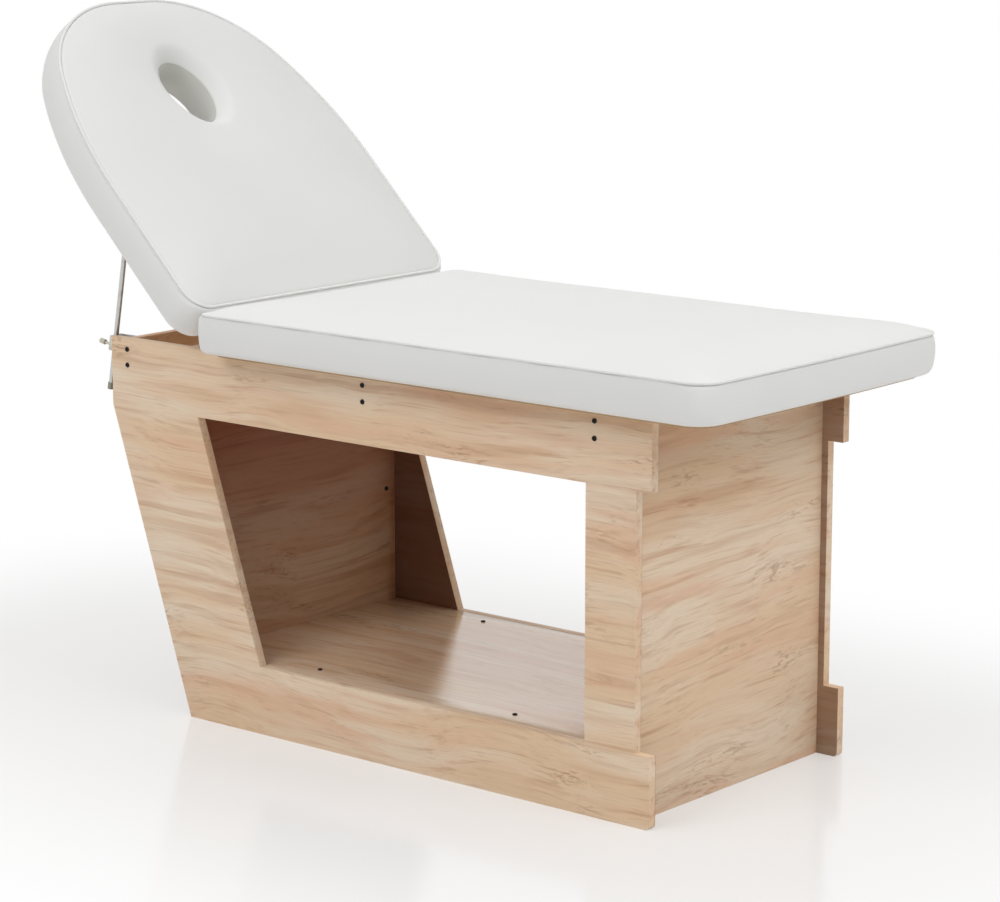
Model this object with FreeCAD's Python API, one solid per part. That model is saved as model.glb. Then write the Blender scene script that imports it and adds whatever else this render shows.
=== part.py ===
"""Spa bed with a cabinet base: a cabinet of wooden boards, a fixed leg cushion, and a
backrest that tilts on two hinges and is held by two clamped prop rods.

Millimetres, +Z up. While it is drawn, X is 0 at the head edge of the side panels and
grows towards the foot, Y is 0 on the middle plane, and the near side has negative Y.
Every finished piece is then moved so that the origin is on the floor under the middle
of the whole bed.
"""
import FreeCAD
import Part
import math
import os

Vector = FreeCAD.Vector
ALONG_X = Vector(1, 0, 0)
ALONG_Y = Vector(0, 1, 0)
ALONG_Z = Vector(0, 0, 1)
SIDES = {"near": -1, "far": 1}

# Cabinet boards
BOARD = 18.0
CABINET_HEIGHT = 690.0
SIDE_LENGTH = 1247.0
SIDE_BAND_HEIGHT = 125.0
POST_WIDTH = 104.0
POST_SETBACK = 31.0
SLANTED_LEG_WIDTH = 220.0
HEAD_SLANT_SHARE = 1 / 3
FOOT_CORNER_RADIUS = 8.0
FOOT_PANEL_SETBACK = 12.0
RAIL_HEIGHT = 70.0
HEAD_RAIL_INSET = 32.0
MIDDLE_RAIL_X = 622.0
FOOT_RAIL_FROM_FOOT = 117.0

# Cleats glued to the side panels
SHELF_CLEAT_WIDTH = 55.0
SHELF_CLEAT_HEIGHT = 18.0
SHELF_CLEAT_END_GAP = 24.0
UPRIGHT_CLEAT_DEPTH = 30.0
UPRIGHT_CLEAT_WIDTH = 50.0
UPRIGHT_CLEAT_BOTTOM = 110.0
UPRIGHT_CLEAT_TOP_GAP = 10.0

# Screws
DRILL_CLEARANCE = 0.05
WOOD_SCREW_RADIUS = 2.0
WOOD_SCREW_LENGTH = 40.0
WOOD_SCREW_HEAD_RADIUS = 4.5
WOOD_SCREW_HEAD_HEIGHT = 2.2
SHORT_SCREW_LENGTH = 30.0
FITTING_SCREW_RADIUS = 1.75
FITTING_SCREW_LENGTH = 11.0
FITTING_SCREW_HEAD_RADIUS = 3.5
FITTING_SCREW_HEAD_HEIGHT = 1.8
RAIL_SCREW_TOP_EDGE = 20.0
RAIL_SCREW_SPACING = 29.0
SHELF_SCREW_HEAD_X = 463.0
SHELF_SCREW_FOOT_X = 917.0
SHELF_SCREW_FROM_SIDE = 37.5
UPRIGHT_SCREW_Z = 347.0
UPRIGHT_SCREW_FROM_END = 57.0

# Cushions
CUSHION_WIDTH = 684.0
CUSHION_OVERHANG = 59.5
SIDE_BULGE = 4.0
# bulge and height between the bottom rounding and the piping, as shares
SIDE_SHARES = [(0.0, 0.0), (0.75, 0.25), (1.0, 0.5), (0.75, 0.75), (0.0, 1.0)]
BOTTOM_EDGE_RADIUS = 10.5
JOINT_CORNER_RADIUS = 20.0
JOINT_EDGE_ROUND = 8.0
CROWN_HEIGHT = 23.0
CROWN_DEPTH = 110.0
# depth inside the piping and height above it, as shares of the two sizes above
CROWN_SHARES = [(0.0, 0.0), (0.12, 0.42), (0.30, 0.72), (0.58, 0.91), (1.0, 1.0)]
CORNER_GROWTH_SHARE = 0.25

# Leg cushion
LEG_LENGTH = 1118.0
LEG_SIDE_HEIGHT = 76.0
LEG_FOOT_CORNER_RADIUS = 45.0
LEG_FOOT_EDGE_RADIUS = 9000.0

# Backrest cushion
BACK_LENGTH = 721.4
BACK_SIDE_HEIGHT = 78.0
BACK_SIDE_ARC_RADIUS = 688.0
BACK_SIDE_ARC_TURN = 22.9
BACK_TOP_FLAT = 82.0
BACK_CORNER_RADIUS = 45.0
BACK_SEAT_CLEARANCE = 0.5

# Face hole in the backrest, its long way along the backrest
FACE_HOLE_FROM_AXIS = 503.6
FACE_HOLE_LENGTH = 150.0
FACE_HOLE_WIDTH = 110.0
FACE_HOLE_END_RADIUS = 42.0
FACE_HOLE_LINING = 3.0
FACE_RIM_DEPTH = 28.0
# how far the hole opens out, and how high above the piping, as shares
FACE_RIM_SHARES = [(0.0, 0.0), (0.22, 0.55), (0.58, 0.90), (1.0, 1.06)]
FACE_SLEEVE_CLEARANCE = 0.2

# Piping along the cushions' upper edges
PIPING_RADIUS = 2.0
PIPING_INSET = 0.8
PIPING_GROOVE_CLEARANCE = 0.2
GROOVE_OVERRUN = 8.0

# Plywood boards let into the cushions' undersides
PLY = 12.0
PLY_INSET = 12.0

# Hinges between the cushions
AXIS_X = 278.5
AXIS_BELOW_LEG_PIPING = 10.0
JOINT_HALF_GAP = 4.2
HINGE_FROM_SIDE = 64.5
HINGE_WIDTH = 60.0
HINGE_KNUCKLES = 5
HINGE_PLATE = 1.8
HINGE_LEG = 45.0
HINGE_PLATE_CLEARANCE = 0.2
HINGE_BARREL_RADIUS = 3.9
HINGE_PIN_RADIUS = 2.0
HINGE_PIN_CLEARANCE = 0.05
HINGE_PIN_HEAD_RADIUS = 3.2
HINGE_PIN_HEAD = 1.2
KNUCKLE_GAP = 0.3
KNUCKLE_RELIEF = 0.6
HINGE_SCREW_FROM_AXIS = 31.0
HINGE_SCREW_SPACING = 20.0

# Backrest angle above flat, in degrees
REST_ANGLE = 45.0

# Prop rods
ROD_FROM_SIDE = 9.5
ROD_RADIUS = 4.75
ROD_BELOW_CLAMP = 95.0
ROD_EYE_RADIUS = 6.5
ROD_EYE_WIDTH = 8.0
ROD_CAP_RADIUS = 6.0
ROD_CAP_LENGTH = 12.0
ROD_CAP_WALL = 2.0
ROD_CAP_CLEARANCE = 0.05
PIVOT_RECESS = 11.5
PIVOT_PIN_RADIUS = 2.5
PIVOT_PIN_CLEARANCE = 0.05

# Steel cups let into the backrest board, where the rods' upper ends turn
CUP_WALL = 1.5
CUP_WIDTH = 14.0
CUP_TO_HEAD = 9.0
CUP_TO_HINGE = 21.0
CUP_ABOVE_EYE = 1.5
CUP_FLANGE = 8.0
CUP_CLEARANCE = 0.2

# Swivelling rod clamps on the head rail
CLAMP_OUT = 18.0
CLAMP_DROP = 12.0
CLAMP_BORE_CLEARANCE = 0.4
CLAMP_WIDTH = 18.0
CLAMP_THICKNESS = 17.0
CLAMP_ABOVE = 7.0
CLAMP_BELOW = 20.0
CLAMP_EDGE_RADIUS = 2.0
STUB_RADIUS = 4.0
STUB_CLEARANCE = 0.05
STUB_BEYOND_NUT = 1.5
SHOULDER_RADIUS = 7.0
SHOULDER_GAP = 0.3
NUT_ACROSS_FLATS = 13.0
NUT_HEIGHT = 6.0
BRACKET_PLATE = 4.0
BRACKET_WIDTH = 44.0
BRACKET_HEIGHT = 48.0
BRACKET_TOP_GAP = 2.0
BRACKET_FROM_CLAMP = 2.5
BRACKET_SCREW_EDGE = 12.0

# Thumb screws in the clamps
THUMB_DROP = 12.0
THUMB_RADIUS = 2.5
THUMB_CLEARANCE = 0.05
THUMB_TIP_GAP = 0.3
THUMB_REACH = 38.0
KNOB_RADIUS = 5.0
KNOB_LENGTH = 12.0
KNOB_FLUTES = 10
KNOB_FLUTE_RADIUS = 0.8

# Angle brackets that hold the leg board on the cross rails
ANGLE_LEG = 30.0
ANGLE_PLATE = 2.0
ANGLE_WIDTH = 25.0
ANGLE_FROM_SIDE = 114.5

OVERRUN = 1.0
HEXAGON = 6
FULL_TURN = 360
MM_PER_METRE = 1000

# Places worked out from the sizes above
half_cabinet = CUSHION_WIDTH / 2 - CUSHION_OVERHANG
inner_y = half_cabinet - BOARD
hinge_y = inner_y - HINGE_FROM_SIDE
rod_y = inner_y - ROD_FROM_SIDE
angle_y = inner_y - ANGLE_FROM_SIDE
half_cushion = CUSHION_WIDTH / 2
slant_height = CABINET_HEIGHT - SIDE_BAND_HEIGHT
slant_foot_x = slant_height * HEAD_SLANT_SHARE
post_foot_x = SIDE_LENGTH - POST_SETBACK
foot_panel_x = post_foot_x - FOOT_PANEL_SETBACK - BOARD
back_panel_x = slant_foot_x
shelf_head_x = back_panel_x + BOARD
rail_z = CABINET_HEIGHT - RAIL_HEIGHT
middle_rail_x = MIDDLE_RAIL_X - BOARD / 2
foot_rail_x = SIDE_LENGTH - FOOT_RAIL_FROM_FOOT - BOARD / 2
rail_head_faces = [HEAD_RAIL_INSET, middle_rail_x, foot_rail_x]
cleat_top_z = rail_z - UPRIGHT_CLEAT_TOP_GAP
leg_piping_z = CABINET_HEIGHT + LEG_SIDE_HEIGHT
axis_z = leg_piping_z - AXIS_BELOW_LEG_PIPING
back_bottom_z = CABINET_HEIGHT + BACK_SEAT_CLEARANCE
back_piping_z = back_bottom_z + BACK_SIDE_HEIGHT
clamp = Vector(-CLAMP_OUT, 0, CABINET_HEIGHT - CLAMP_DROP)
axis = Vector(AXIS_X, 0, axis_z)
leg_end_x = AXIS_X + JOINT_HALF_GAP
back_end_x = AXIS_X - JOINT_HALF_GAP
# the rods' upper pivots are as far from the hinge axis as the clamps are, so each rod
# turns by half the backrest's angle and always points through its clamp
clamp_radius = (clamp - axis).Length
pivot_below_axis = axis_z - back_bottom_z - PIVOT_RECESS
pivot_from_axis = math.sqrt(clamp_radius ** 2 - pivot_below_axis ** 2)
flat_pivot = axis + Vector(-pivot_from_axis, 0, -pivot_below_axis)
face_hole_x = AXIS_X - FACE_HOLE_FROM_AXIS


def box(low, high):
    """Box between two corners, each (x, y, z)."""
    return Part.makeBox(*[b - a for a, b in zip(low, high)], Vector(*low))


def cylinder(radius, start, direction, length):
    return Part.makeCylinder(radius, length, start, direction)


def mirrored(shape):
    """The same piece on the other side of the middle plane."""
    return shape.mirror(Vector(0, 0, 0), ALONG_Y)


def turned(shape, centre, degrees):
    """Turned about a line through centre that runs across the bed, head end upwards."""
    return shape.rotated(centre, ALONG_Y, degrees)


def on_side(shape, side):
    """A piece drawn on the near side, moved to the named side."""
    return shape if side == "near" else mirrored(shape)


def both_sides(shape):
    return Part.makeCompound([shape, mirrored(shape)])


# Fasteners: each is (point on the surface, direction into the wood, length)
def wood_screw(point, direction, length):
    """Pan-head screw whose head lies on the surface at point."""
    shank = cylinder(WOOD_SCREW_RADIUS, point, direction, length)
    head = cylinder(WOOD_SCREW_HEAD_RADIUS, point, -direction, WOOD_SCREW_HEAD_HEIGHT)
    return shank.fuse(head).removeSplitter()


def fitting_screw(point, direction, length):
    """Small pan-head screw for the metal fittings."""
    shank = cylinder(FITTING_SCREW_RADIUS, point, direction, length)
    head = cylinder(FITTING_SCREW_HEAD_RADIUS, point, -direction, FITTING_SCREW_HEAD_HEIGHT)
    return shank.fuse(head).removeSplitter()


def drilled(shape, places, radius):
    """The shape with a screw hole at each place."""
    for point, direction, length in places:
        shape = shape.cut(cylinder(radius + DRILL_CLEARANCE, point, direction, length))
    return shape


def mirrored_places(places):
    """The same screws on the other side of the middle plane."""
    flip = [(Vector(p.x, -p.y, p.z), Vector(d.x, -d.y, d.z), length) for p, d, length in places]
    return places + flip


def rail_screw_places():
    """Two screws through the near side panel into each cross rail."""
    places = []
    for head_face in rail_head_faces:
        for drop in (RAIL_SCREW_TOP_EDGE, RAIL_SCREW_TOP_EDGE + RAIL_SCREW_SPACING):
            point = Vector(head_face + BOARD / 2, -half_cabinet, CABINET_HEIGHT - drop)
            places.append((point, ALONG_Y, WOOD_SCREW_LENGTH))
    return places


def shelf_screw_places():
    """Screws down through the shelf into the near cleat."""
    y = -(inner_y - SHELF_SCREW_FROM_SIDE)
    return [
        (Vector(x, y, SIDE_BAND_HEIGHT), -ALONG_Z, SHORT_SCREW_LENGTH)
        for x in (SHELF_SCREW_HEAD_X, SHELF_SCREW_FOOT_X)
    ]


def back_screw_places():
    """A screw through the back panel into the near upright cleat."""
    y = -(inner_y - UPRIGHT_CLEAT_WIDTH / 2)
    return [(Vector(shelf_head_x, y, UPRIGHT_SCREW_Z), -ALONG_X, WOOD_SCREW_LENGTH)]


def foot_screw_places():
    """Screws through the near upright cleat into the foot panel."""
    y = -(inner_y - UPRIGHT_CLEAT_WIDTH / 2)
    cleat_face = foot_panel_x - UPRIGHT_CLEAT_DEPTH
    heights = (SIDE_BAND_HEIGHT + UPRIGHT_SCREW_FROM_END, cleat_top_z - UPRIGHT_SCREW_FROM_END)
    return [(Vector(cleat_face, y, z), ALONG_X, WOOD_SCREW_LENGTH) for z in heights]


# Cabinet
def side_panel():
    """Near side panel: two bands, a slanted leg at the head and a post at the foot."""
    floor = SIDE_LENGTH - FOOT_CORNER_RADIUS
    bend = FOOT_CORNER_RADIUS * (1 - math.sqrt(0.5))
    corner = Part.Arc(
        Vector(floor, 0, 0),
        Vector(SIDE_LENGTH - bend, 0, bend),
        Vector(SIDE_LENGTH, 0, FOOT_CORNER_RADIUS),
    ).toShape()
    rest = Part.makePolygon([
        Vector(SIDE_LENGTH, 0, FOOT_CORNER_RADIUS),
        Vector(SIDE_LENGTH, 0, SIDE_BAND_HEIGHT),
        Vector(post_foot_x, 0, SIDE_BAND_HEIGHT),
        Vector(post_foot_x, 0, slant_height),
        Vector(SIDE_LENGTH, 0, slant_height),
        Vector(SIDE_LENGTH, 0, CABINET_HEIGHT),
        Vector(0, 0, CABINET_HEIGHT),
        Vector(0, 0, slant_height),
        Vector(slant_foot_x, 0, 0),
        Vector(floor, 0, 0),
    ])
    outline = Part.Wire([corner] + rest.Edges)
    opening_foot = SLANTED_LEG_WIDTH + (slant_height - SIDE_BAND_HEIGHT) * HEAD_SLANT_SHARE
    opening = Part.makePolygon([
        Vector(SLANTED_LEG_WIDTH, 0, slant_height),
        Vector(post_foot_x - POST_WIDTH, 0, slant_height),
        Vector(post_foot_x - POST_WIDTH, 0, SIDE_BAND_HEIGHT),
        Vector(opening_foot, 0, SIDE_BAND_HEIGHT),
        Vector(SLANTED_LEG_WIDTH, 0, slant_height),
    ])
    panel = Part.Face(outline).extrude(ALONG_Y * BOARD).cut(Part.Face(opening).extrude(ALONG_Y * BOARD))
    panel.translate(Vector(0, -half_cabinet, 0))
    return drilled(panel, rail_screw_places(), WOOD_SCREW_RADIUS)


def cross_rail(head_face):
    rail = box((head_face, -inner_y, rail_z), (head_face + BOARD, inner_y, CABINET_HEIGHT))
    return drilled(rail, mirrored_places(rail_screw_places()), WOOD_SCREW_RADIUS)


def upright_cleat(x):
    """Near upright cleat with its head face at x."""
    return box(
        (x, -inner_y, UPRIGHT_CLEAT_BOTTOM),
        (x + UPRIGHT_CLEAT_DEPTH, UPRIGHT_CLEAT_WIDTH - inner_y, cleat_top_z),
    )


def cabinet():
    back = box((back_panel_x, -inner_y, 0), (shelf_head_x, inner_y, CABINET_HEIGHT))
    foot = box((foot_panel_x, -inner_y, 0), (foot_panel_x + BOARD, inner_y, CABINET_HEIGHT))
    shelf = box(
        (shelf_head_x, -inner_y, SIDE_BAND_HEIGHT - BOARD),
        (foot_panel_x, inner_y, SIDE_BAND_HEIGHT),
    )
    shelf_cleat = box(
        (shelf_head_x + SHELF_CLEAT_END_GAP, -inner_y, SIDE_BAND_HEIGHT - BOARD - SHELF_CLEAT_HEIGHT),
        (foot_panel_x - SHELF_CLEAT_END_GAP, SHELF_CLEAT_WIDTH - inner_y, SIDE_BAND_HEIGHT - BOARD),
    )
    shelf_cleat = drilled(shelf_cleat, shelf_screw_places(), WOOD_SCREW_RADIUS)
    back_cleat = upright_cleat(back_panel_x - UPRIGHT_CLEAT_DEPTH)
    back_cleat = drilled(back_cleat, back_screw_places(), WOOD_SCREW_RADIUS)
    foot_cleat = upright_cleat(foot_panel_x - UPRIGHT_CLEAT_DEPTH)
    foot_cleat = foot_cleat.cut(shelf)
    below = box((0, -inner_y, 0), (SIDE_LENGTH, inner_y, SIDE_BAND_HEIGHT))
    foot_cleat = drilled(foot_cleat.cut(below), foot_screw_places(), WOOD_SCREW_RADIUS)
    parts = {
        "back_panel": drilled(back, mirrored_places(back_screw_places()), WOOD_SCREW_RADIUS),
        "foot_panel": drilled(foot, mirrored_places(foot_screw_places()), WOOD_SCREW_RADIUS),
        "shelf": drilled(shelf, mirrored_places(shelf_screw_places()), WOOD_SCREW_RADIUS),
    }
    for side in SIDES:
        parts["side_panel_" + side] = on_side(side_panel(), side)
        parts["shelf_cleat_" + side] = on_side(shelf_cleat, side)
        parts["back_cleat_" + side] = on_side(back_cleat, side)
        parts["foot_cleat_" + side] = on_side(foot_cleat, side)
    for name, head_face in zip(("head", "middle", "foot"), rail_head_faces):
        parts["cross_rail_" + name] = cross_rail(head_face)
    for name, places in {
        "rail_screws": rail_screw_places(),
        "shelf_screws": shelf_screw_places(),
        "back_panel_screws": back_screw_places(),
        "foot_panel_screws": foot_screw_places(),
    }.items():
        parts[name] = Part.makeCompound([wood_screw(*place) for place in mirrored_places(places)])
    return parts


# Outlines of the cushions: runs from the middle of the hinged end to the middle of the far
# end on one side, as lists of (distance from the hinged end, y): 2 points are a straight
# run and 3 are an arc
def arc_run(centre, radius, start, end):
    """Arc about centre from one angle to another, measured from the far-end direction."""
    angles = (start, (start + end) / 2, end)
    return [(centre[0] + radius * math.cos(a), centre[1] + radius * math.sin(a)) for a in angles]


def joint_corner_runs(half_width, inset, radius, side_end):
    """Hinged end, its corner and the straight side."""
    centre = (inset + radius, half_width - radius)
    return [
        [(inset, 0), (inset, half_width - radius)],
        arc_run(centre, radius, math.pi, math.pi / 2),
        [(inset + radius, half_width), (side_end, half_width)],
    ]


def leg_runs(inset, joint_inset):
    """Half outline of the leg cushion, inset from its piping line."""
    half_width = half_cushion - inset
    joint_radius = JOINT_CORNER_RADIUS + CORNER_GROWTH_SHARE * max(inset, 0)
    corner_radius = LEG_FOOT_CORNER_RADIUS - CORNER_GROWTH_SHARE * max(inset, 0)
    edge_radius = LEG_FOOT_EDGE_RADIUS
    edge_centre = LEG_LENGTH - inset - edge_radius
    corner_y = half_width - corner_radius
    reach = math.sqrt((edge_radius - corner_radius) ** 2 - corner_y ** 2)
    swing = math.atan2(corner_y, reach)
    corner = (edge_centre + reach, corner_y)
    return joint_corner_runs(half_width, joint_inset, joint_radius, corner[0]) + [
        arc_run(corner, corner_radius, math.pi / 2, swing),
        arc_run((edge_centre, 0), edge_radius, swing, 0),
    ]


def back_runs(inset, joint_inset):
    """Half outline of the backrest: straight sides, then two arcs and a short flat top."""
    half_width = half_cushion - inset
    top = BACK_LENGTH - inset
    turn = math.radians(BACK_SIDE_ARC_TURN)
    side_radius = BACK_SIDE_ARC_RADIUS - inset
    drop = (BACK_TOP_FLAT / 2 + side_radius - half_width) / math.cos(turn)
    shoulder_radius = side_radius - drop
    side_end = top - shoulder_radius - drop * math.sin(turn)
    shoulder = (top - shoulder_radius, BACK_TOP_FLAT / 2)
    joint_radius = BACK_CORNER_RADIUS + CORNER_GROWTH_SHARE * max(inset, 0)
    return joint_corner_runs(half_width, joint_inset, joint_radius, side_end) + [
        arc_run((side_end, half_width - side_radius), side_radius, math.pi / 2, math.pi / 2 - turn),
        arc_run(shoulder, shoulder_radius, math.pi / 2 - turn, 0),
        [(top, BACK_TOP_FLAT / 2), (top, 0)],
    ]


def run_edge(points):
    if len(points) == 2:
        return Part.LineSegment(*points).toShape()
    return Part.Arc(*points).toShape()


def outline(runs, end_x, way, z, closed=True):
    """Wire of both halves at one height; way is +1 for a cushion that runs to the foot."""
    kept = runs if closed else runs[2:]
    other = [[(u, -y) for u, y in reversed(run)] for run in reversed(kept)]
    edges = [
        run_edge([Vector(end_x + way * u, y, z) for u, y in run])
        for run in kept + other
    ]
    return Part.Wire(edges)


def slab(runs, end_x, way, low, high):
    """Flat plate with a cushion's outline."""
    return Part.Face(outline(runs, end_x, way, low)).extrude(ALONG_Z * (high - low))


def cushion_body(half_outline, end_x, way, bottom, piping):
    """Stuffed sides up to the piping, and the crown above it."""
    slope = BOTTOM_EDGE_RADIUS * (1 - math.sqrt(0.5))
    side_bottom = bottom + BOTTOM_EDGE_RADIUS
    rounding = [(BOTTOM_EDGE_RADIUS, bottom), (slope, bottom + slope), (0, side_bottom)]
    sides = [
        (-bulge_share * SIDE_BULGE, side_bottom + height_share * (piping - side_bottom))
        for bulge_share, height_share in SIDE_SHARES
    ]
    layers = [
        [outline(half_outline(inset, 0), end_x, way, z) for inset, z in profile]
        for profile in (rounding, sides)
    ]
    crown = []
    for depth_share, height_share in CROWN_SHARES:
        depth = depth_share * CROWN_DEPTH
        runs = half_outline(depth, JOINT_EDGE_ROUND + depth)
        crown.append(outline(runs, end_x, way, piping + height_share * CROWN_HEIGHT))
    lofts = [Part.makeLoft(wires, True, False) for wires in layers + [crown]]
    body = lofts[0].multiFuse(lofts[1:]).removeSplitter()
    corner = box(
        (-OVERRUN, -CUSHION_WIDTH, piping - JOINT_EDGE_ROUND),
        (JOINT_EDGE_ROUND, CUSHION_WIDTH, piping + OVERRUN),
    )
    roll_start = Vector(JOINT_EDGE_ROUND, -CUSHION_WIDTH, piping - JOINT_EDGE_ROUND)
    corner = corner.cut(cylinder(JOINT_EDGE_ROUND, roll_start, ALONG_Y, 2 * CUSHION_WIDTH))
    if way < 0:
        corner = corner.mirror(Vector(0, 0, 0), ALONG_X)
    corner.translate(Vector(end_x, 0, 0))
    return body.cut(corner)


def piping_groove(half_outline, end_x, way, piping):
    """Ring cut out of a cushion for its piping, along the sides and the far end."""
    depth = PIPING_INSET + PIPING_RADIUS + PIPING_GROOVE_CLEARANCE
    half = PIPING_RADIUS + PIPING_GROOVE_CLEARANCE
    rings = [
        slab(half_outline(inset, joint_inset), end_x, way, piping - half, piping + half)
        for inset, joint_inset in ((-GROOVE_OVERRUN, -GROOVE_OVERRUN), (depth, 0))
    ]
    stop = piping_stop(half_outline) - PIPING_GROOVE_CLEARANCE
    ring = rings[0].cut(rings[1])
    joint_end = box(
        (-CUSHION_WIDTH, -CUSHION_WIDTH, piping - CUSHION_WIDTH),
        (stop, CUSHION_WIDTH, piping + CUSHION_WIDTH),
    )
    if way < 0:
        joint_end = joint_end.mirror(Vector(0, 0, 0), ALONG_X)
    joint_end.translate(Vector(end_x, 0, 0))
    return ring.cut(joint_end)


def piping_stop(half_outline):
    """Where the straight side begins, counted from the hinged end."""
    return half_outline(PIPING_INSET, 0)[2][0][0]


def piping(half_outline, end_x, way, z):
    """Round welt along the sides and the far end."""
    path = outline(half_outline(PIPING_INSET, 0), end_x, way, z, closed=False)
    first = path.Edges[0]
    start = first.valueAt(first.FirstParameter)
    ring = Part.Wire(Part.makeCircle(PIPING_RADIUS, start, ALONG_X))
    return path.makePipeShell([ring], True, True)


# Hinges: drawn once about the axis, with the leg side towards +X
def hinge_knuckle_spans(owner):
    """Near and far ends of the knuckles of one leaf, counted from the hinge's middle."""
    length = HINGE_WIDTH / HINGE_KNUCKLES
    first = 0 if owner == "leg" else 1
    starts = [index * length - HINGE_WIDTH / 2 for index in range(first, HINGE_KNUCKLES, 2)]
    return [(start + KNUCKLE_GAP / 2, start + length - KNUCKLE_GAP / 2) for start in starts]


def hinge_screw_places(bottom):
    """Screws up into the board, with the hinge's middle at y 0 and its axis at x 0."""
    return [
        (Vector(HINGE_SCREW_FROM_AXIS, step, bottom - HINGE_PLATE), ALONG_Z, FITTING_SCREW_LENGTH)
        for step in (-HINGE_SCREW_SPACING, 0, HINGE_SCREW_SPACING)
    ]


def hinge_leaf(owner, bottom):
    """Tall L-shaped leaf from its knuckles down the cushion's end and in under its board."""
    face = JOINT_HALF_GAP - HINGE_PLATE_CLEARANCE
    inside = face - HINGE_PLATE
    half = HINGE_WIDTH / 2
    shoulder = axis_z - HINGE_BARREL_RADIUS - KNUCKLE_RELIEF
    leaf = box((inside, -half, bottom - HINGE_PLATE), (face, half, shoulder))
    leaf = leaf.fuse(box((inside, -half, bottom - HINGE_PLATE), (inside + HINGE_LEG, half, bottom)))
    for near, far in hinge_knuckle_spans(owner):
        leaf = leaf.fuse(box((inside, near, shoulder), (face, far, axis_z)))
        leaf = leaf.fuse(cylinder(HINGE_BARREL_RADIUS, Vector(0, near, axis_z), ALONG_Y, far - near))
    bore_start = Vector(0, -half, axis_z)
    bore = cylinder(HINGE_PIN_RADIUS + HINGE_PIN_CLEARANCE, bore_start, ALONG_Y, HINGE_WIDTH)
    leaf = leaf.cut(bore).removeSplitter()
    return drilled(leaf, hinge_screw_places(bottom), FITTING_SCREW_RADIUS)


def hinge_pin():
    half = HINGE_WIDTH / 2
    pin = cylinder(HINGE_PIN_RADIUS, Vector(0, -half, axis_z), ALONG_Y, HINGE_WIDTH)
    for start in (-half - HINGE_PIN_HEAD, half):
        pin = pin.fuse(cylinder(HINGE_PIN_HEAD_RADIUS, Vector(0, start, axis_z), ALONG_Y, HINGE_PIN_HEAD))
    return pin.removeSplitter()


def at_hinges(shape):
    """Two copies of a piece drawn about the axis, one at each hinge."""
    copies = []
    for sign in SIDES.values():
        copy = shape.copy()
        copy.translate(Vector(AXIS_X, sign * hinge_y, 0))
        copies.append(copy)
    return Part.makeCompound(copies)


def backward(shape):
    """A piece drawn on the leg side of the axis, turned over to the backrest side."""
    return shape.mirror(Vector(0, 0, 0), ALONG_X)


def board_with_hinge_holes(board, bottom, flip):
    """Holes for the hinge screws in a cushion's board."""
    for point, direction, length in hinge_screw_places(bottom):
        hole = cylinder(FITTING_SCREW_RADIUS + DRILL_CLEARANCE, point, direction, length)
        board = board.cut(at_hinges(backward(hole) if flip else hole))
    return board


# Leg cushion on the cabinet
def leg_cushion_parts():
    board = slab(leg_runs(BOTTOM_EDGE_RADIUS + PLY_INSET, PLY_INSET), leg_end_x, 1,
                 CABINET_HEIGHT, CABINET_HEIGHT + PLY)
    cushion = cushion_body(leg_runs, leg_end_x, 1, CABINET_HEIGHT, leg_piping_z)
    cushion = cushion.cut(board).cut(piping_groove(leg_runs, leg_end_x, 1, leg_piping_z))
    board = board_with_hinge_holes(board, CABINET_HEIGHT, False)
    board = drilled(board, mirrored_places(angle_board_screws()), FITTING_SCREW_RADIUS)
    screws = [fitting_screw(*place) for place in hinge_screw_places(CABINET_HEIGHT)]
    return {
        "leg_board": board,
        "leg_cushion": cushion,
        "leg_piping": piping(leg_runs, leg_end_x, 1, leg_piping_z),
        "hinge_leaves_leg": at_hinges(hinge_leaf("leg", CABINET_HEIGHT)),
        "hinge_pins": at_hinges(hinge_pin()),
        "hinge_screws_leg": at_hinges(Part.makeCompound(screws)),
    }


def angle_board_screws():
    """Screws up into the leg board through the near angle brackets."""
    reach = BOARD + ANGLE_LEG / 2
    under = CABINET_HEIGHT - ANGLE_PLATE
    middle = Vector(rail_head_faces[1] + reach, -angle_y, under)
    foot = Vector(rail_head_faces[2] + BOARD - reach, -angle_y, under)
    return [(middle, ALONG_Z, FITTING_SCREW_LENGTH), (foot, ALONG_Z, FITTING_SCREW_LENGTH)]


def angle_rail_screws():
    """Screws into the middle and foot cross rails through the near angle brackets."""
    z = CABINET_HEIGHT - ANGLE_LEG / 2 - ANGLE_PLATE
    middle = Vector(rail_head_faces[1] + BOARD + ANGLE_PLATE, -angle_y, z)
    foot = Vector(rail_head_faces[2] - ANGLE_PLATE, -angle_y, z)
    return [(middle, -ALONG_X, FITTING_SCREW_LENGTH), (foot, ALONG_X, FITTING_SCREW_LENGTH)]


def angle_brackets():
    """Near brackets on the foot face of the middle rail and the head face of the foot rail."""
    low_y = -angle_y - ANGLE_WIDTH / 2
    high_y = low_y + ANGLE_WIDTH
    plate = box((0, low_y, CABINET_HEIGHT - ANGLE_LEG), (ANGLE_PLATE, high_y, CABINET_HEIGHT))
    shelf = box((0, low_y, CABINET_HEIGHT - ANGLE_PLATE), (ANGLE_LEG, high_y, CABINET_HEIGHT))
    bracket = plate.fuse(shelf).removeSplitter()
    foot = backward(bracket)
    bracket.translate(Vector(rail_head_faces[1] + BOARD, 0, 0))
    foot.translate(Vector(rail_head_faces[2], 0, 0))
    places = angle_board_screws() + angle_rail_screws()
    return [drilled(shape, places, FITTING_SCREW_RADIUS) for shape in (bracket, foot)]


def angle_parts():
    brackets = angle_brackets()
    places = mirrored_places(angle_board_screws() + angle_rail_screws())
    return {
        "board_brackets": Part.makeCompound(brackets + [mirrored(b) for b in brackets]),
        "board_bracket_screws": Part.makeCompound([fitting_screw(*place) for place in places]),
    }


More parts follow.
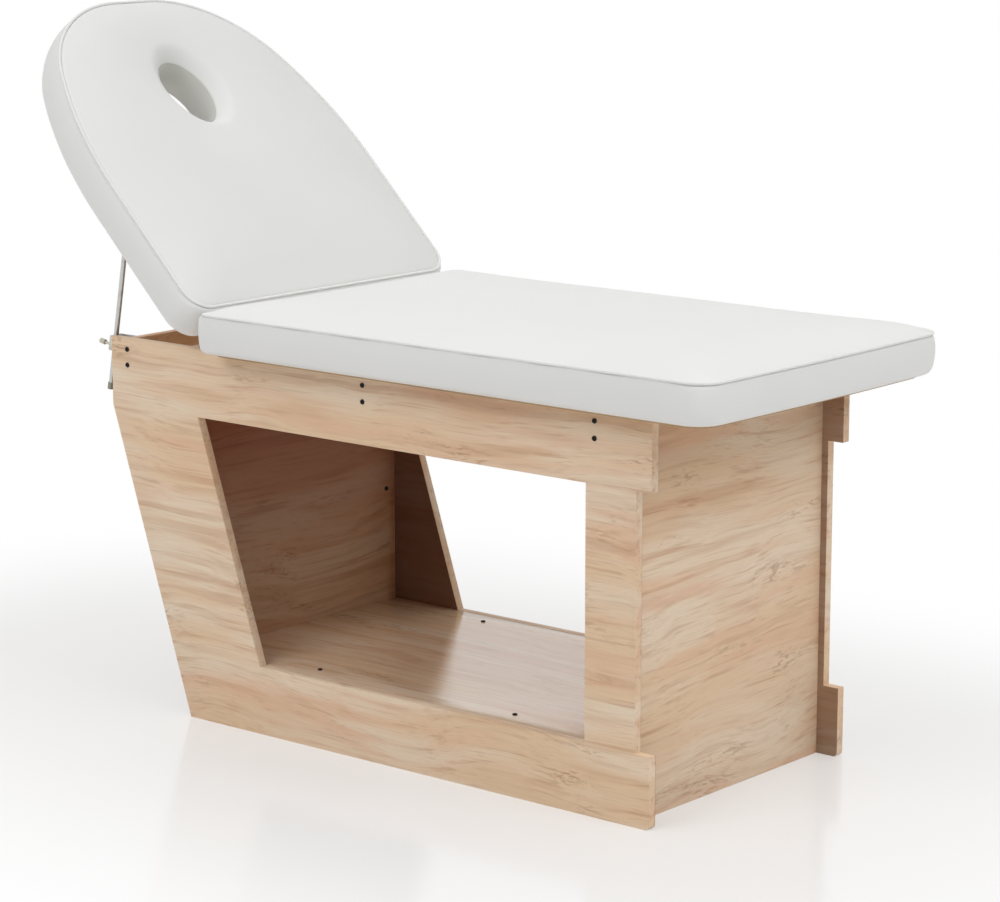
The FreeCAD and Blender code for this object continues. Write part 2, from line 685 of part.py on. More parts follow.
# Backrest, drawn flat and then raised
def oval_runs(grow):
    """Four-centred oval about the face hole's middle, grown on every side."""
    end_offset = FACE_HOLE_LENGTH / 2 - FACE_HOLE_END_RADIUS
    half_width = FACE_HOLE_WIDTH / 2
    shortfall = half_width - FACE_HOLE_END_RADIUS
    side_offset = (end_offset ** 2 - shortfall ** 2) / (2 * shortfall)
    side_radius = half_width + side_offset + grow
    end_radius = FACE_HOLE_END_RADIUS + grow
    turn = math.atan2(side_offset, end_offset)
    return [
        arc_run((end_offset, 0), end_radius, -turn, turn),
        arc_run((0, -side_offset), side_radius, turn, math.pi - turn),
        arc_run((-end_offset, 0), end_radius, math.pi - turn, math.pi + turn),
        arc_run((0, side_offset), side_radius, math.pi + turn, 2 * math.pi - turn),
    ]


def oval(grow, z):
    edges = [run_edge([Vector(face_hole_x + u, y, z) for u, y in run]) for run in oval_runs(grow)]
    return Part.Wire(edges)


def oval_column(grow, low, high):
    return Part.Face(oval(grow, low)).extrude(ALONG_Z * (high - low))


def face_hole_cut():
    """Straight hole with a soft rim that opens towards the crown."""
    straight = oval_column(0, back_bottom_z - OVERRUN, back_piping_z)
    wires = [
        oval(out * FACE_RIM_DEPTH, back_piping_z + up * CROWN_HEIGHT)
        for out, up in FACE_RIM_SHARES
    ]
    return straight.fuse(Part.makeLoft(wires, True, False))


def cup_interior(grow):
    """Space inside a near strut cup, with its walls grown."""
    top = flat_pivot.z + ROD_EYE_RADIUS + CUP_ABOVE_EYE + grow
    return box(
        (flat_pivot.x - CUP_TO_HEAD - grow, -rod_y - CUP_WIDTH / 2 - grow, back_bottom_z),
        (flat_pivot.x + CUP_TO_HINGE + grow, -rod_y + CUP_WIDTH / 2 + grow, top),
    )


def cup_flange(grow):
    border = CUP_FLANGE + grow
    top = back_bottom_z + CUP_WALL + grow
    return box(
        (flat_pivot.x - CUP_TO_HEAD - border, -rod_y - CUP_WIDTH / 2 - border, back_bottom_z),
        (flat_pivot.x + CUP_TO_HINGE + border, -rod_y + CUP_WIDTH / 2 + border, top),
    )


def strut_pin(grow):
    length = CUP_WIDTH + 2 * CUP_WALL
    start = Vector(flat_pivot.x, -rod_y - length / 2, flat_pivot.z)
    return cylinder(PIVOT_PIN_RADIUS + grow, start, ALONG_Y, length)


def backrest_parts():
    board = slab(back_runs(BOTTOM_EDGE_RADIUS + PLY_INSET, PLY_INSET), back_end_x, -1,
                 back_bottom_z, back_bottom_z + PLY)
    cushion = cushion_body(back_runs, back_end_x, -1, back_bottom_z, back_piping_z)
    cushion = cushion.cut(board).cut(piping_groove(back_runs, back_end_x, -1, back_piping_z))
    cushion = cushion.cut(face_hole_cut())
    sleeve_inner = oval_column(-FACE_SLEEVE_CLEARANCE - FACE_HOLE_LINING, back_bottom_z, back_piping_z)
    sleeve = oval_column(-FACE_SLEEVE_CLEARANCE, back_bottom_z, back_piping_z).cut(sleeve_inner)
    board = board.cut(oval_column(0, back_bottom_z, back_piping_z))
    cup = cup_interior(CUP_WALL).fuse(cup_flange(0)).cut(cup_interior(0)).removeSplitter()
    cup = cup.cut(strut_pin(PIVOT_PIN_CLEARANCE))
    pocket = both_sides(cup_interior(CUP_WALL + CUP_CLEARANCE).fuse(cup_flange(CUP_CLEARANCE)))
    board = board_with_hinge_holes(board.cut(pocket), back_bottom_z, True)
    leaf = backward(hinge_leaf("back", back_bottom_z))
    screws = [backward(fitting_screw(*place)) for place in hinge_screw_places(back_bottom_z)]
    parts = {
        "backrest_board": board,
        "backrest_cushion": cushion.cut(pocket),
        "backrest_piping": piping(back_runs, back_end_x, -1, back_piping_z),
        "face_hole_sleeve": sleeve,
        "hinge_leaves_back": at_hinges(leaf),
        "hinge_screws_back": at_hinges(Part.makeCompound(screws)),
        "strut_pins": both_sides(strut_pin(0)),
    }
    for side in SIDES:
        parts["strut_cup_" + side] = on_side(cup, side)
    return {name: turned(shape, axis, REST_ANGLE) for name, shape in parts.items()}


# Prop rods, drawn upright at their pivot or clamp and then leant
def pivot_at(angle):
    """Place of the rods' upper pivot at a backrest angle."""
    turn = math.radians(angle)
    across = Vector(math.sin(turn), 0, math.cos(turn))
    along = Vector(-math.cos(turn), 0, math.sin(turn))
    return axis + along * pivot_from_axis - across * pivot_below_axis


def rod_parts():
    pivot = pivot_at(REST_ANGLE)
    rise = pivot - clamp
    lean = math.degrees(math.atan2(rise.x, rise.z))
    length = rise.Length + ROD_BELOW_CLAMP
    centre = Vector(pivot.x, -rod_y, pivot.z)
    rod = cylinder(ROD_RADIUS, centre, -ALONG_Z, length - ROD_CAP_WALL)
    eye_start = centre - ALONG_Y * (ROD_EYE_WIDTH / 2)
    rod = rod.fuse(cylinder(ROD_EYE_RADIUS, eye_start, ALONG_Y, ROD_EYE_WIDTH))
    bore_start = centre - ALONG_Y * ROD_EYE_WIDTH
    bore = cylinder(PIVOT_PIN_RADIUS + PIVOT_PIN_CLEARANCE, bore_start, ALONG_Y, 2 * ROD_EYE_WIDTH)
    rod = rod.cut(bore)
    foot = centre - ALONG_Z * length
    cap = cylinder(ROD_CAP_RADIUS, foot, ALONG_Z, ROD_CAP_LENGTH)
    socket_start = foot + ALONG_Z * ROD_CAP_WALL
    cap = cap.cut(cylinder(ROD_RADIUS + ROD_CAP_CLEARANCE, socket_start, ALONG_Z, ROD_CAP_LENGTH))
    parts = {}
    for side in SIDES:
        parts["prop_rod_" + side] = on_side(turned(rod, centre, lean), side)
        parts["rod_cap_" + side] = on_side(turned(cap, centre, lean), side)
    return parts, lean


def clamp_bracket():
    """Near bracket: a plate on the head rail and an arm that carries the clamp's stub."""
    arm_outer = -rod_y + CLAMP_THICKNESS / 2 + BRACKET_FROM_CLAMP
    arm_inner = arm_outer + BRACKET_PLATE
    top = CABINET_HEIGHT - BRACKET_TOP_GAP
    arm_radius = top - clamp.z
    plate = box(
        (HEAD_RAIL_INSET - BRACKET_PLATE, arm_outer, top - BRACKET_HEIGHT),
        (HEAD_RAIL_INSET, arm_outer + BRACKET_WIDTH, top),
    )
    arm = box((clamp.x, arm_outer, clamp.z - arm_radius), (HEAD_RAIL_INSET, arm_inner, top))
    nose_start = Vector(clamp.x, arm_outer, clamp.z)
    arm = arm.fuse(cylinder(arm_radius, nose_start, ALONG_Y, BRACKET_PLATE))
    hole = cylinder(STUB_RADIUS + STUB_CLEARANCE, nose_start, ALONG_Y, BRACKET_PLATE)
    return plate.fuse(arm).cut(hole).removeSplitter(), arm_outer, arm_inner


def bracket_screw_places(arm_outer):
    x = HEAD_RAIL_INSET - BRACKET_PLATE
    y = arm_outer + BRACKET_WIDTH - BRACKET_SCREW_EDGE
    top = CABINET_HEIGHT - BRACKET_TOP_GAP
    heights = (top - BRACKET_SCREW_EDGE, top - BRACKET_HEIGHT + BRACKET_SCREW_EDGE)
    return [(Vector(x, y, z), ALONG_X, FITTING_SCREW_LENGTH) for z in heights]


def hexagon_nut(start):
    """Lock nut along Y with its outer face at start."""
    corner_radius = NUT_ACROSS_FLATS / math.sqrt(3)
    points = []
    for index in range(HEXAGON + 1):
        turn = math.radians(index * FULL_TURN / HEXAGON)
        points.append(start + Vector(math.sin(turn), 0, math.cos(turn)) * corner_radius)
    nut = Part.Face(Part.makePolygon(points)).extrude(ALONG_Y * NUT_HEIGHT)
    return nut.cut(cylinder(STUB_RADIUS + STUB_CLEARANCE, start, ALONG_Y, NUT_HEIGHT))


def clamp_parts(lean):
    centre = Vector(clamp.x, -rod_y, clamp.z)
    bracket, arm_outer, arm_inner = clamp_bracket()
    half_x = CLAMP_WIDTH / 2
    half_y = CLAMP_THICKNESS / 2
    block = box((-half_x, -half_y, -CLAMP_BELOW), (half_x, half_y, CLAMP_ABOVE))
    upright = [e for e in block.Edges if round(abs(e.tangentAt(e.FirstParameter).z))]
    block = block.makeFillet(CLAMP_EDGE_RADIUS, upright)
    bore_radius = ROD_RADIUS + CLAMP_BORE_CLEARANCE
    bore = cylinder(bore_radius, -ALONG_Z * CLAMP_BELOW, ALONG_Z, CLAMP_BELOW + CLAMP_ABOVE)
    thumb_start = -ALONG_Z * THUMB_DROP
    thumb_hole = cylinder(THUMB_RADIUS + THUMB_CLEARANCE, thumb_start, -ALONG_X, CLAMP_WIDTH)
    block = block.cut(bore).cut(thumb_hole)
    block.translate(centre)
    block = turned(block, centre, lean)
    inside = Vector(clamp.x, -rod_y + half_y, clamp.z)
    shoulder = cylinder(SHOULDER_RADIUS, inside, ALONG_Y, BRACKET_FROM_CLAMP - SHOULDER_GAP)
    nut_start = Vector(clamp.x, arm_inner + SHOULDER_GAP, clamp.z)
    stub_length = nut_start.y + NUT_HEIGHT + STUB_BEYOND_NUT - inside.y
    block = block.fuse(shoulder).fuse(cylinder(STUB_RADIUS, inside, ALONG_Y, stub_length))
    places = bracket_screw_places(arm_outer)
    bracket = drilled(bracket, places, FITTING_SCREW_RADIUS)
    screws = [fitting_screw(*place) for place in mirrored_places(places)]
    thumb = turned(thumb_screw(centre), centre, lean)
    parts = {"clamp_bracket_screws": Part.makeCompound(screws)}
    for side in SIDES:
        parts["clamp_bracket_" + side] = on_side(bracket, side)
        parts["swivel_clamp_" + side] = on_side(block.removeSplitter(), side)
        parts["clamp_nut_" + side] = on_side(hexagon_nut(nut_start), side)
        parts["thumb_screw_" + side] = on_side(thumb, side)
    return parts, places


def thumb_screw(centre):
    """Screw that points towards the head, with a fluted knob."""
    line = centre - ALONG_Z * THUMB_DROP
    tip = line - ALONG_X * (ROD_RADIUS + THUMB_TIP_GAP)
    reach = THUMB_REACH - ROD_RADIUS - THUMB_TIP_GAP
    screw = cylinder(THUMB_RADIUS, tip, -ALONG_X, reach)
    knob_start = line - ALONG_X * (THUMB_REACH - KNOB_LENGTH)
    screw = screw.fuse(cylinder(KNOB_RADIUS, knob_start, -ALONG_X, KNOB_LENGTH))
    for index in range(KNOB_FLUTES):
        turn = 2 * math.pi * index / KNOB_FLUTES
        out = Vector(0, KNOB_RADIUS * math.cos(turn), KNOB_RADIUS * math.sin(turn))
        screw = screw.cut(cylinder(KNOB_FLUTE_RADIUS, knob_start + out, -ALONG_X, KNOB_LENGTH))
    return screw.removeSplitter()


def metres(point, shift):
    """A place in the finished frame, in metres."""
    moved = (point + shift) / MM_PER_METRE
    return [round(value, 6) for value in moved]


def main():
    os.makedirs("parts", exist_ok=True)
    rods, lean = rod_parts()
    clamps, bracket_places = clamp_parts(lean)
    parts = cabinet()
    parts["cross_rail_head"] = drilled(
        parts["cross_rail_head"], mirrored_places(bracket_places), FITTING_SCREW_RADIUS)
    for name in ("cross_rail_middle", "cross_rail_foot"):
        parts[name] = drilled(parts[name], mirrored_places(angle_rail_screws()), FITTING_SCREW_RADIUS)
    for group in (leg_cushion_parts(), angle_parts(), backrest_parts(), rods, clamps):
        parts.update(group)
    boxes = [shape.optimalBoundingBox(False) for shape in parts.values()]
    low_x = min(b.XMin for b in boxes)
    high_x = max(b.XMax for b in boxes)
    shift = Vector(-(low_x + high_x) / 2, 0, 0)
    for name, shape in parts.items():
        shape.translate(shift)
        shape.exportStep("parts/" + name + ".step")
        if not shape.isValid():
            print("not valid:", name)
    near_clamp = Vector(clamp.x, -rod_y, clamp.z)
    pivot = pivot_at(REST_ANGLE)
    leant = math.radians(lean)
    print("pieces", len(parts), "shift", shift, "lean", lean)
    print("hinge axis", metres(axis, shift))
    print("rod pivot", metres(Vector(pivot.x, -rod_y, pivot.z), shift))
    print("clamp", metres(near_clamp, shift))
    thumb = near_clamp - Vector(math.sin(leant), 0, math.cos(leant)) * THUMB_DROP
    print("thumb screw", metres(thumb, shift), "axis", [-math.cos(leant), 0, math.sin(leant)])


main()
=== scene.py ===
"""Looks of a spa bed with a cabinet base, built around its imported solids.

Metres, +Z up, +X towards the foot of the bed, the near side at negative Y.
"""
import logging
import math
from collections.abc import Callable, Iterable
from dataclasses import dataclass, field
from enum import Enum

import bmesh
import bpy
from bmesh.types import BMEdge, BMesh, BMVert
from bpy.types import Material
from mathutils import Matrix, Vector
from mathutils.kdtree import KDTree


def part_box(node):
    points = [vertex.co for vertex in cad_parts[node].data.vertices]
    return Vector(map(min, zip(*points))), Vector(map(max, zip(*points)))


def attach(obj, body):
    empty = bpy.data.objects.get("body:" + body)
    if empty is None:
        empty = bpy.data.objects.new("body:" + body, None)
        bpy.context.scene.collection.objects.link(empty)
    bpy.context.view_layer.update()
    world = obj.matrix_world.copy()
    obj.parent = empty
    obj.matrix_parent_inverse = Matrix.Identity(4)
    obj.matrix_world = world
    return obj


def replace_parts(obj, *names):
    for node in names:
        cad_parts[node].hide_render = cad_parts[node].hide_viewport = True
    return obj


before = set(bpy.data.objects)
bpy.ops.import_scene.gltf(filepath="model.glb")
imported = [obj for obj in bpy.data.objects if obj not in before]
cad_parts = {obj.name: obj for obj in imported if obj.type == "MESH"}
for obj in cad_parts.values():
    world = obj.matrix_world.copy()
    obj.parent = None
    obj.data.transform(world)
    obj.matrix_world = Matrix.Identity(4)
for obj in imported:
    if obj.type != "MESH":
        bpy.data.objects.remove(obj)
LOG = logging.getLogger("spa_bed")
Colour = tuple[float, float, float, float]
Place = tuple[float, float, float]
Socket = bpy.types.NodeSocket


def tone(red: int, green: int, blue: int) -> Colour:
    """Linear colour of a display colour.

    Args:
        red, green, blue: display values from 0 to 255.

    Returns:
        The colour that a shader socket takes.
    """
    def linear(value: int) -> float:
        """Undo the display curve of one channel."""
        share = value / 255
        return share / 12.92 if share <= 0.04045 else ((share + 0.055) / 1.055) ** 2.4

    return (linear(red), linear(green), linear(blue), 1.0)


# Finishes
class Nodes:
    """Shader nodes of a tree, built from the shader towards the coordinates."""

    def __init__(self, tree: bpy.types.NodeTree) -> None:
        """Start with an empty tree."""
        self.tree = tree
        self.tree.nodes.clear()

    def node(self, kind: str, inputs: dict, **settings: object) -> bpy.types.Node:
        """Add a node.

        Args:
            kind: the node type without its ShaderNode prefix.
            inputs: values or sockets by the input's name or number.
            settings: the node's own properties.

        Returns:
            The new node.
        """
        made = self.tree.nodes.new("ShaderNode" + kind)
        for key, value in settings.items():
            setattr(made, key, value)
        for key, value in inputs.items():
            if isinstance(value, Socket):
                self.tree.links.new(value, made.inputs[key])
            else:
                made.inputs[key].default_value = value
        return made

    def ramp(self, value: Socket, low: float, high: float) -> Socket:
        """0 below low, 1 above high, smooth between."""
        inputs = {"Value": value, "From Min": low, "From Max": high}
        return self.node("MapRange", inputs, interpolation_type="SMOOTHSTEP").outputs[0]

    def calc(self, operation: str, first: Socket | float, second: Socket | float = 0.0) -> Socket:
        """One sum on two values."""
        return self.node("Math", {0: first, 1: second}, operation=operation).outputs[0]

    def times(self, first: Socket | float, second: Socket | float) -> Socket:
        """Product of two values."""
        return self.calc("MULTIPLY", first, second)

    def each(self, operation: str, first: Socket, second: Socket | Vector = Vector()) -> Socket:
        """One sum on each part of two vectors."""
        return self.node("VectorMath", {0: first, 1: second}, operation=operation).outputs[0]

    def seen(self) -> Socket:
        """1 for rays from the camera and for reflections, 0 for light."""
        rays = self.node("LightPath", {}).outputs
        seen = self.calc("MAXIMUM", rays["Is Camera Ray"], rays["Is Glossy Ray"])
        return self.calc("MAXIMUM", seen, rays["Is Transmission Ray"])


class Graph(Nodes):
    """Nodes of one material."""

    def __init__(self, name: str) -> None:
        """Start an empty material with object coordinates."""
        self.material = bpy.data.materials.new(name)
        self.material.use_nodes = True
        super().__init__(self.material.node_tree)
        self.output = self.tree.nodes.new("ShaderNodeOutputMaterial")
        self.place = self.tree.nodes.new("ShaderNodeTexCoord").outputs["Object"]

    def mapped(self, scale: Vector | Place | float, offset: Vector = Vector(), turn: Vector = Vector()) -> Socket:
        """Object coordinates, turned, scaled and moved."""
        if isinstance(scale, (int, float)):
            scale = (scale, scale, scale)
        turned = self.node("Mapping", {"Vector": self.place, "Rotation": turn}).outputs[0]
        return self.node("Mapping", {"Vector": turned, "Location": offset, "Scale": scale}).outputs[0]

    def noise(self, vector: Socket, detail: float = 3.0, rough: float = 0.55, twist: float = 0.0) -> Socket:
        """Grey noise at scale 1 on an already scaled vector."""
        inputs = {"Vector": vector, "Scale": 1.0, "Detail": detail, "Roughness": rough, "Distortion": twist}
        return self.node("TexNoise", inputs).outputs["Fac"]

    def mix(
        self, share: Socket | float, first: Socket | Colour, second: Socket | Colour, blend: str = "MIX",
    ) -> Socket:
        """Mix two colours."""
        made = self.node("Mix", {0: share, 6: first, 7: second}, data_type="RGBA", blend_type=blend)
        return made.outputs[2]

    def bump(self, height: Socket, distance: float, strength: float = 1.0, before: Socket | None = None) -> Socket:
        """Normal from a height in units of distance."""
        inputs = {"Height": height, "Distance": distance, "Strength": strength}
        if before is not None:
            inputs["Normal"] = before
        return self.node("Bump", inputs).outputs[0]

    def finish(self, inputs: dict) -> Material:
        """Join a Principled shader to the output.

        Args:
            inputs: the shader's values and sockets by name.

        Returns:
            The finished material.
        """
        shader = self.node("BsdfPrincipled", inputs)
        self.tree.links.new(shader.outputs[0], self.output.inputs["Surface"])
        return self.material


class Grain(Enum):
    """Which way a board's grain runs."""

    ALONG_BED = 0
    ACROSS_BED = 1


@dataclass(frozen=True)
class Layer:
    """One tone of the figure: noise stretched with the grain, and where and how strongly it shows."""

    colour: str
    along: float
    across: float
    move: float
    low: float
    high: float
    most: float
    detail: float = 3.0
    rough: float = 0.55


@dataclass(frozen=True)
class OakLaminate:
    """Pale oak print on chipboard: cloudy tones, leaning streaks, flecks and feathered clusters."""

    name: str
    grain: Grain = Grain.ALONG_BED
    shift: float = 0.0
    pale: Colour = tone(250, 230, 205)
    sand: Colour = tone(244, 213, 178)
    blush: Colour = tone(241, 201, 168)
    fleck: Colour = tone(199, 146, 103)
    feather: Colour = tone(166, 118, 80)
    # tone of the painted shade, multiplied in where shaded() gives a share
    shade: Colour = (0.25, 0.17, 0.155, 1.0)
    roughness: float = 0.42
    shine: float = 0.3
    index: float = 1.48
    lean: float = 0.11
    layers: tuple[Layer, ...] = (
        Layer("sand", 1.2, 11.0, 1.0, 0.38, 0.62, 0.95),
        Layer("blush", 1.5, 16.0, 1.2, 0.48, 0.68, 0.80),
        Layer("fleck", 2.0, 42.0, 1.4, 0.50, 0.74, 0.40, rough=0.5),
        Layer("fleck", 3.6, 120.0, 1.6, 0.52, 0.74, 0.42),
        Layer("feather", 3.4, 240.0, 1.7, 0.58, 0.76, 0.24, detail=2.0, rough=0.5),
    )
    fibre_share: float = 0.15
    feather_share: float = 0.46

    def stretched(self, along: float, across: float) -> Vector:
        """Pattern scale per metre with and against the grain."""
        scale = Vector((across, across, across))
        scale[self.grain.value] = along
        return scale

    def build(self) -> Material:
        """Make the material."""
        graph = Graph(self.name)
        offset = Vector((self.shift * 1.7, self.shift * 2.9, self.shift * 4.3))
        sway = graph.noise(graph.mapped(self.stretched(1.9, 2.6), offset), detail=2.0, rough=0.4)
        lean = graph.times(graph.calc("SUBTRACT", sway, 0.5), self.lean)
        swayed = graph.each("ADD", graph.place, lean)

        def figure(along: float, across: float, move: float, **words: float) -> Socket:
            """Noise stretched with the grain, on the swayed coordinates."""
            scaled = graph.node("Mapping", {
                "Vector": swayed, "Location": offset * move, "Scale": self.stretched(along, across),
            }).outputs[0]
            return graph.noise(scaled, **words)

        colour: Socket | Colour = self.pale
        for layer in self.layers:
            streaks = figure(layer.along, layer.across, layer.move, detail=layer.detail, rough=layer.rough)
            share = graph.times(graph.ramp(streaks, layer.low, layer.high), layer.most)
            colour = graph.mix(share, colour, getattr(self, layer.colour))
        fibres = graph.ramp(figure(11.0, 480.0, 1.8, detail=3.0, rough=0.6), 0.3, 0.75)
        colour = graph.mix(graph.times(fibres, self.fibre_share), colour, self.fleck)
        patches = graph.ramp(figure(4.2, 15.0, 2.0, detail=1.0), 0.58, 0.72)
        dashes = graph.ramp(figure(34.0, 175.0, 2.2, detail=2.0, rough=0.6, twist=0.7), 0.50, 0.62)
        feathers = graph.times(graph.times(patches, dashes), self.feather_share)
        colour = graph.mix(feathers, colour, self.feather)
        # painted shade: the darker tone multiplied into the print, as much as shaded() asks
        colour = graph.mix(self.shaded(graph), colour, self.shade, "MULTIPLY")
        sheen = graph.calc("ADD", self.roughness, graph.times(fibres, 0.08))
        normal = graph.bump(fibres, 0.00012, 0.5)
        return graph.finish({
            "Base Color": colour, "Roughness": sheen, "Normal": normal, "IOR": self.index,
            "Specular IOR Level": self.shine,
        })

    def shaded(self, graph: Graph) -> Socket | float:
        """How much painted shade the board has at a place: none on a plain board."""
        return 0.0


@dataclass(frozen=True)
class SideLaminate(OakLaminate):
    """Side panel with painted shade on its inner face."""

    inner_face: float = 0.2645
    bay_end: float = 0.622
    # share of the painted shade kept on the inner face beyond the foot panel
    outside: float = 0.72

    def shaded(self, graph: Graph) -> Socket:
        """Share of painted shade: 1 on the inner face, and a little less of it beyond the foot panel."""
        place = graph.node("SeparateXYZ", {0: graph.place}).outputs
        outer = graph.ramp(graph.calc("ABSOLUTE", place["Y"]), self.inner_face + 0.0004, self.inner_face + 0.0012)
        beyond = graph.ramp(place["X"], self.bay_end - 0.004, self.bay_end)
        painted_shade_share = graph.calc("SUBTRACT", 1.0, graph.times(beyond, 1.0 - self.outside))
        return graph.times(graph.calc("SUBTRACT", 1.0, outer), painted_shade_share)


@dataclass(frozen=True)
class BackLaminate(OakLaminate):
    """Back panel with painted shade on the bay's side, darker towards its top."""

    # tone of the painted shade, and its least share at the shelf
    shade: Colour = (0.34, 0.15, 0.09, 1.0)
    least: float = 0.2
    bay_face: float = -0.3577

    def shaded(self, graph: Graph) -> Socket:
        """Share of painted shade: from the least share at the shelf to 1 below the cushion, on the bay's side only."""
        place = graph.node("SeparateXYZ", {0: graph.place}).outputs
        up = graph.ramp(place["Z"], 0.02, 0.62)
        share = graph.calc("ADD", self.least, graph.times(up, 1.0 - self.least))
        return graph.times(share, graph.ramp(place["X"], self.bay_face - 0.0012, self.bay_face - 0.0004))


@dataclass(frozen=True)
class Plywood:
    """Ply board: pale face and thin layers that show on its edges."""

    name: str
    lean: float = 0.0
    layer: float = 0.0015
    face: Colour = tone(206, 176, 134)
    glue: Colour = tone(138, 104, 70)

    def build(self) -> Material:
        """Make the material."""
        graph = Graph(self.name)
        turn = Vector((0, self.lean, 0))
        layers = graph.node("Mapping", {"Vector": graph.place, "Rotation": turn}).outputs[0]
        height = graph.node("SeparateXYZ", {0: layers}).outputs["Z"]
        phase = graph.times(height, math.pi / self.layer)
        lines = graph.ramp(graph.calc("SINE", phase), 0.55, 0.95)
        grain = graph.noise(graph.mapped((5, 120, 120), turn=turn), detail=4.0)
        colour = graph.mix(graph.times(graph.ramp(grain, 0.35, 0.7), 0.45), self.face, self.glue)
        colour = graph.mix(graph.times(lines, 0.35), colour, self.glue)
        return graph.finish({"Base Color": colour, "Roughness": 0.6, "Normal": graph.bump(grain, 0.0003, 0.4)})


@dataclass(frozen=True)
class SoftLeather:
    """Smooth coated upholstery cloth with a fine pebble and faint creases."""

    name: str
    colour: Colour = tone(241, 241, 239)
    shade: Colour = tone(238, 238, 236)
    roughness: float = 0.46
    pebble: float = 1100.0

    def build(self) -> Material:
        """Make the material."""
        graph = Graph(self.name)
        cells = graph.node("TexVoronoi", {"Vector": graph.place, "Scale": self.pebble}, feature="SMOOTH_F1")
        grain = graph.noise(graph.mapped(520), detail=3.0, twist=0.4)
        ripple = graph.noise(graph.mapped(9), detail=2.0, twist=0.6)
        cloud = graph.ramp(graph.noise(graph.mapped(5), detail=2.0), 0.35, 0.7)
        colour = graph.mix(graph.times(cloud, 0.5), self.colour, self.shade)
        rough = graph.calc("ADD", self.roughness, graph.times(grain, 0.1))
        normal = graph.bump(ripple, 0.0022, 0.12)
        normal = graph.bump(cells.outputs["Distance"], 0.00012, 0.5, normal)
        normal = graph.bump(grain, 0.00012, 0.4, normal)
        return graph.finish({
            "Base Color": colour, "Roughness": rough, "Normal": normal, "IOR": 1.48,
            "Sheen Weight": 0.08, "Sheen Roughness": 0.4,
        })


@dataclass(frozen=True)
class DrawnSteel:
    """Steel with fine lines from drawing or brushing, and a little tarnish."""

    name: str
    lines: Place | float = (900, 900, 30)
    lean: float = 0.0
    colour: Colour = tone(196, 196, 194)
    dull: Colour = tone(150, 148, 144)
    roughness: float = 0.28

    def build(self) -> Material:
        """Make the material."""
        graph = Graph(self.name)
        turn = Vector((0, self.lean, 0))
        brushed = graph.noise(graph.mapped(self.lines, turn=turn), detail=3.0)
        stain = graph.ramp(graph.noise(graph.mapped(60), detail=3.0), 0.45, 0.75)
        colour = graph.mix(graph.times(stain, 0.5), self.colour, self.dull)
        rough = graph.calc("ADD", self.roughness, graph.times(brushed, 0.16))
        normal = graph.bump(brushed, 0.00005, 0.6)
        return graph.finish({"Base Color": colour, "Metallic": 1.0, "Roughness": rough, "Normal": normal})


@dataclass(frozen=True)
class BlackOxide:
    """Black screw finish, a little worn."""

    name: str
    colour: Colour = tone(17, 15, 14)
    worn: Colour = tone(46, 42, 38)

    def build(self) -> Material:
        """Make the material."""
        graph = Graph(self.name)
        speck = graph.noise(graph.mapped(700), detail=2.0)
        colour = graph.mix(graph.times(graph.ramp(speck, 0.55, 0.8), 0.5), self.colour, self.worn)
        return graph.finish({
            "Base Color": colour, "Metallic": 0.4, "Roughness": 0.55, "Normal": graph.bump(speck, 0.00004, 0.5),
        })


# Mesh helpers
def linked(name: str, data: bpy.types.ID) -> bpy.types.Object:
    """A new object in the scene."""
    made = bpy.data.objects.new(name, data)
    bpy.context.scene.collection.objects.link(made)
    return made


def meshed(name: str, work: BMesh) -> bpy.types.Mesh:
    """A new mesh from a bmesh, which is freed."""
    mesh = bpy.data.meshes.new(name)
    work.to_mesh(mesh)
    work.free()
    return mesh


def aim(thing: bpy.types.Object, way: Vector) -> None:
    """Point a camera or a lamp along a direction."""
    thing.rotation_mode = "QUATERNION"
    thing.rotation_quaternion = way.to_track_quat("-Z", "Y")


def weld(work: BMesh, distance: float = 1e-6) -> None:
    """Merge points that lie on each other."""
    bmesh.ops.remove_doubles(work, verts=work.verts[:], dist=distance)


def face_out(work: BMesh) -> None:
    """Turn every face outwards."""
    bmesh.ops.recalc_face_normals(work, faces=work.faces[:])


def new_piece(name: str, work: BMesh, material: Material, body: str, smooth: float) -> bpy.types.Object:
    """Turn a bmesh into a piece that rides on a body.

    Args:
        name: the piece's name.
        work: the shape, freed afterwards.
        material: its finish.
        body: the CAD body that it moves with.
        smooth: faces that meet at less than this many degrees shade as one.

    Returns:
        The new object.
    """
    for face in work.faces:
        face.smooth = True
    for edge in work.edges:
        edge.smooth = not edge.is_manifold or edge.calc_face_angle(0.0) < math.radians(smooth)
    mesh = meshed(name, work)
    mesh.materials.append(material)
    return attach(linked(name, mesh), body)


def dress(node: str, material: Material) -> bpy.types.Object:
    """Give a CAD node a finish and keep its shape."""
    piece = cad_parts[node]
    piece.data.materials.clear()
    piece.data.materials.append(material)
    return piece


def copied(node: str) -> BMesh:
    """A CAD node's shape with its doubles merged."""
    work = bmesh.new()
    work.from_mesh(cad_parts[node].data)
    weld(work)
    return work


def extruded(work: BMesh, edges: list[BMEdge]) -> tuple[list[BMEdge], list[BMVert]]:
    """Extrude edges in place.

    Args:
        work: the shape.
        edges: the open edges.

    Returns:
        The new edges and their points.
    """
    made = bmesh.ops.extrude_edge_only(work, edges=edges)["geom"]
    verts = [item for item in made if isinstance(item, BMVert)]
    fresh = set(verts)
    rim = [item for item in made if isinstance(item, BMEdge) and fresh.issuperset(item.verts)]
    return rim, verts


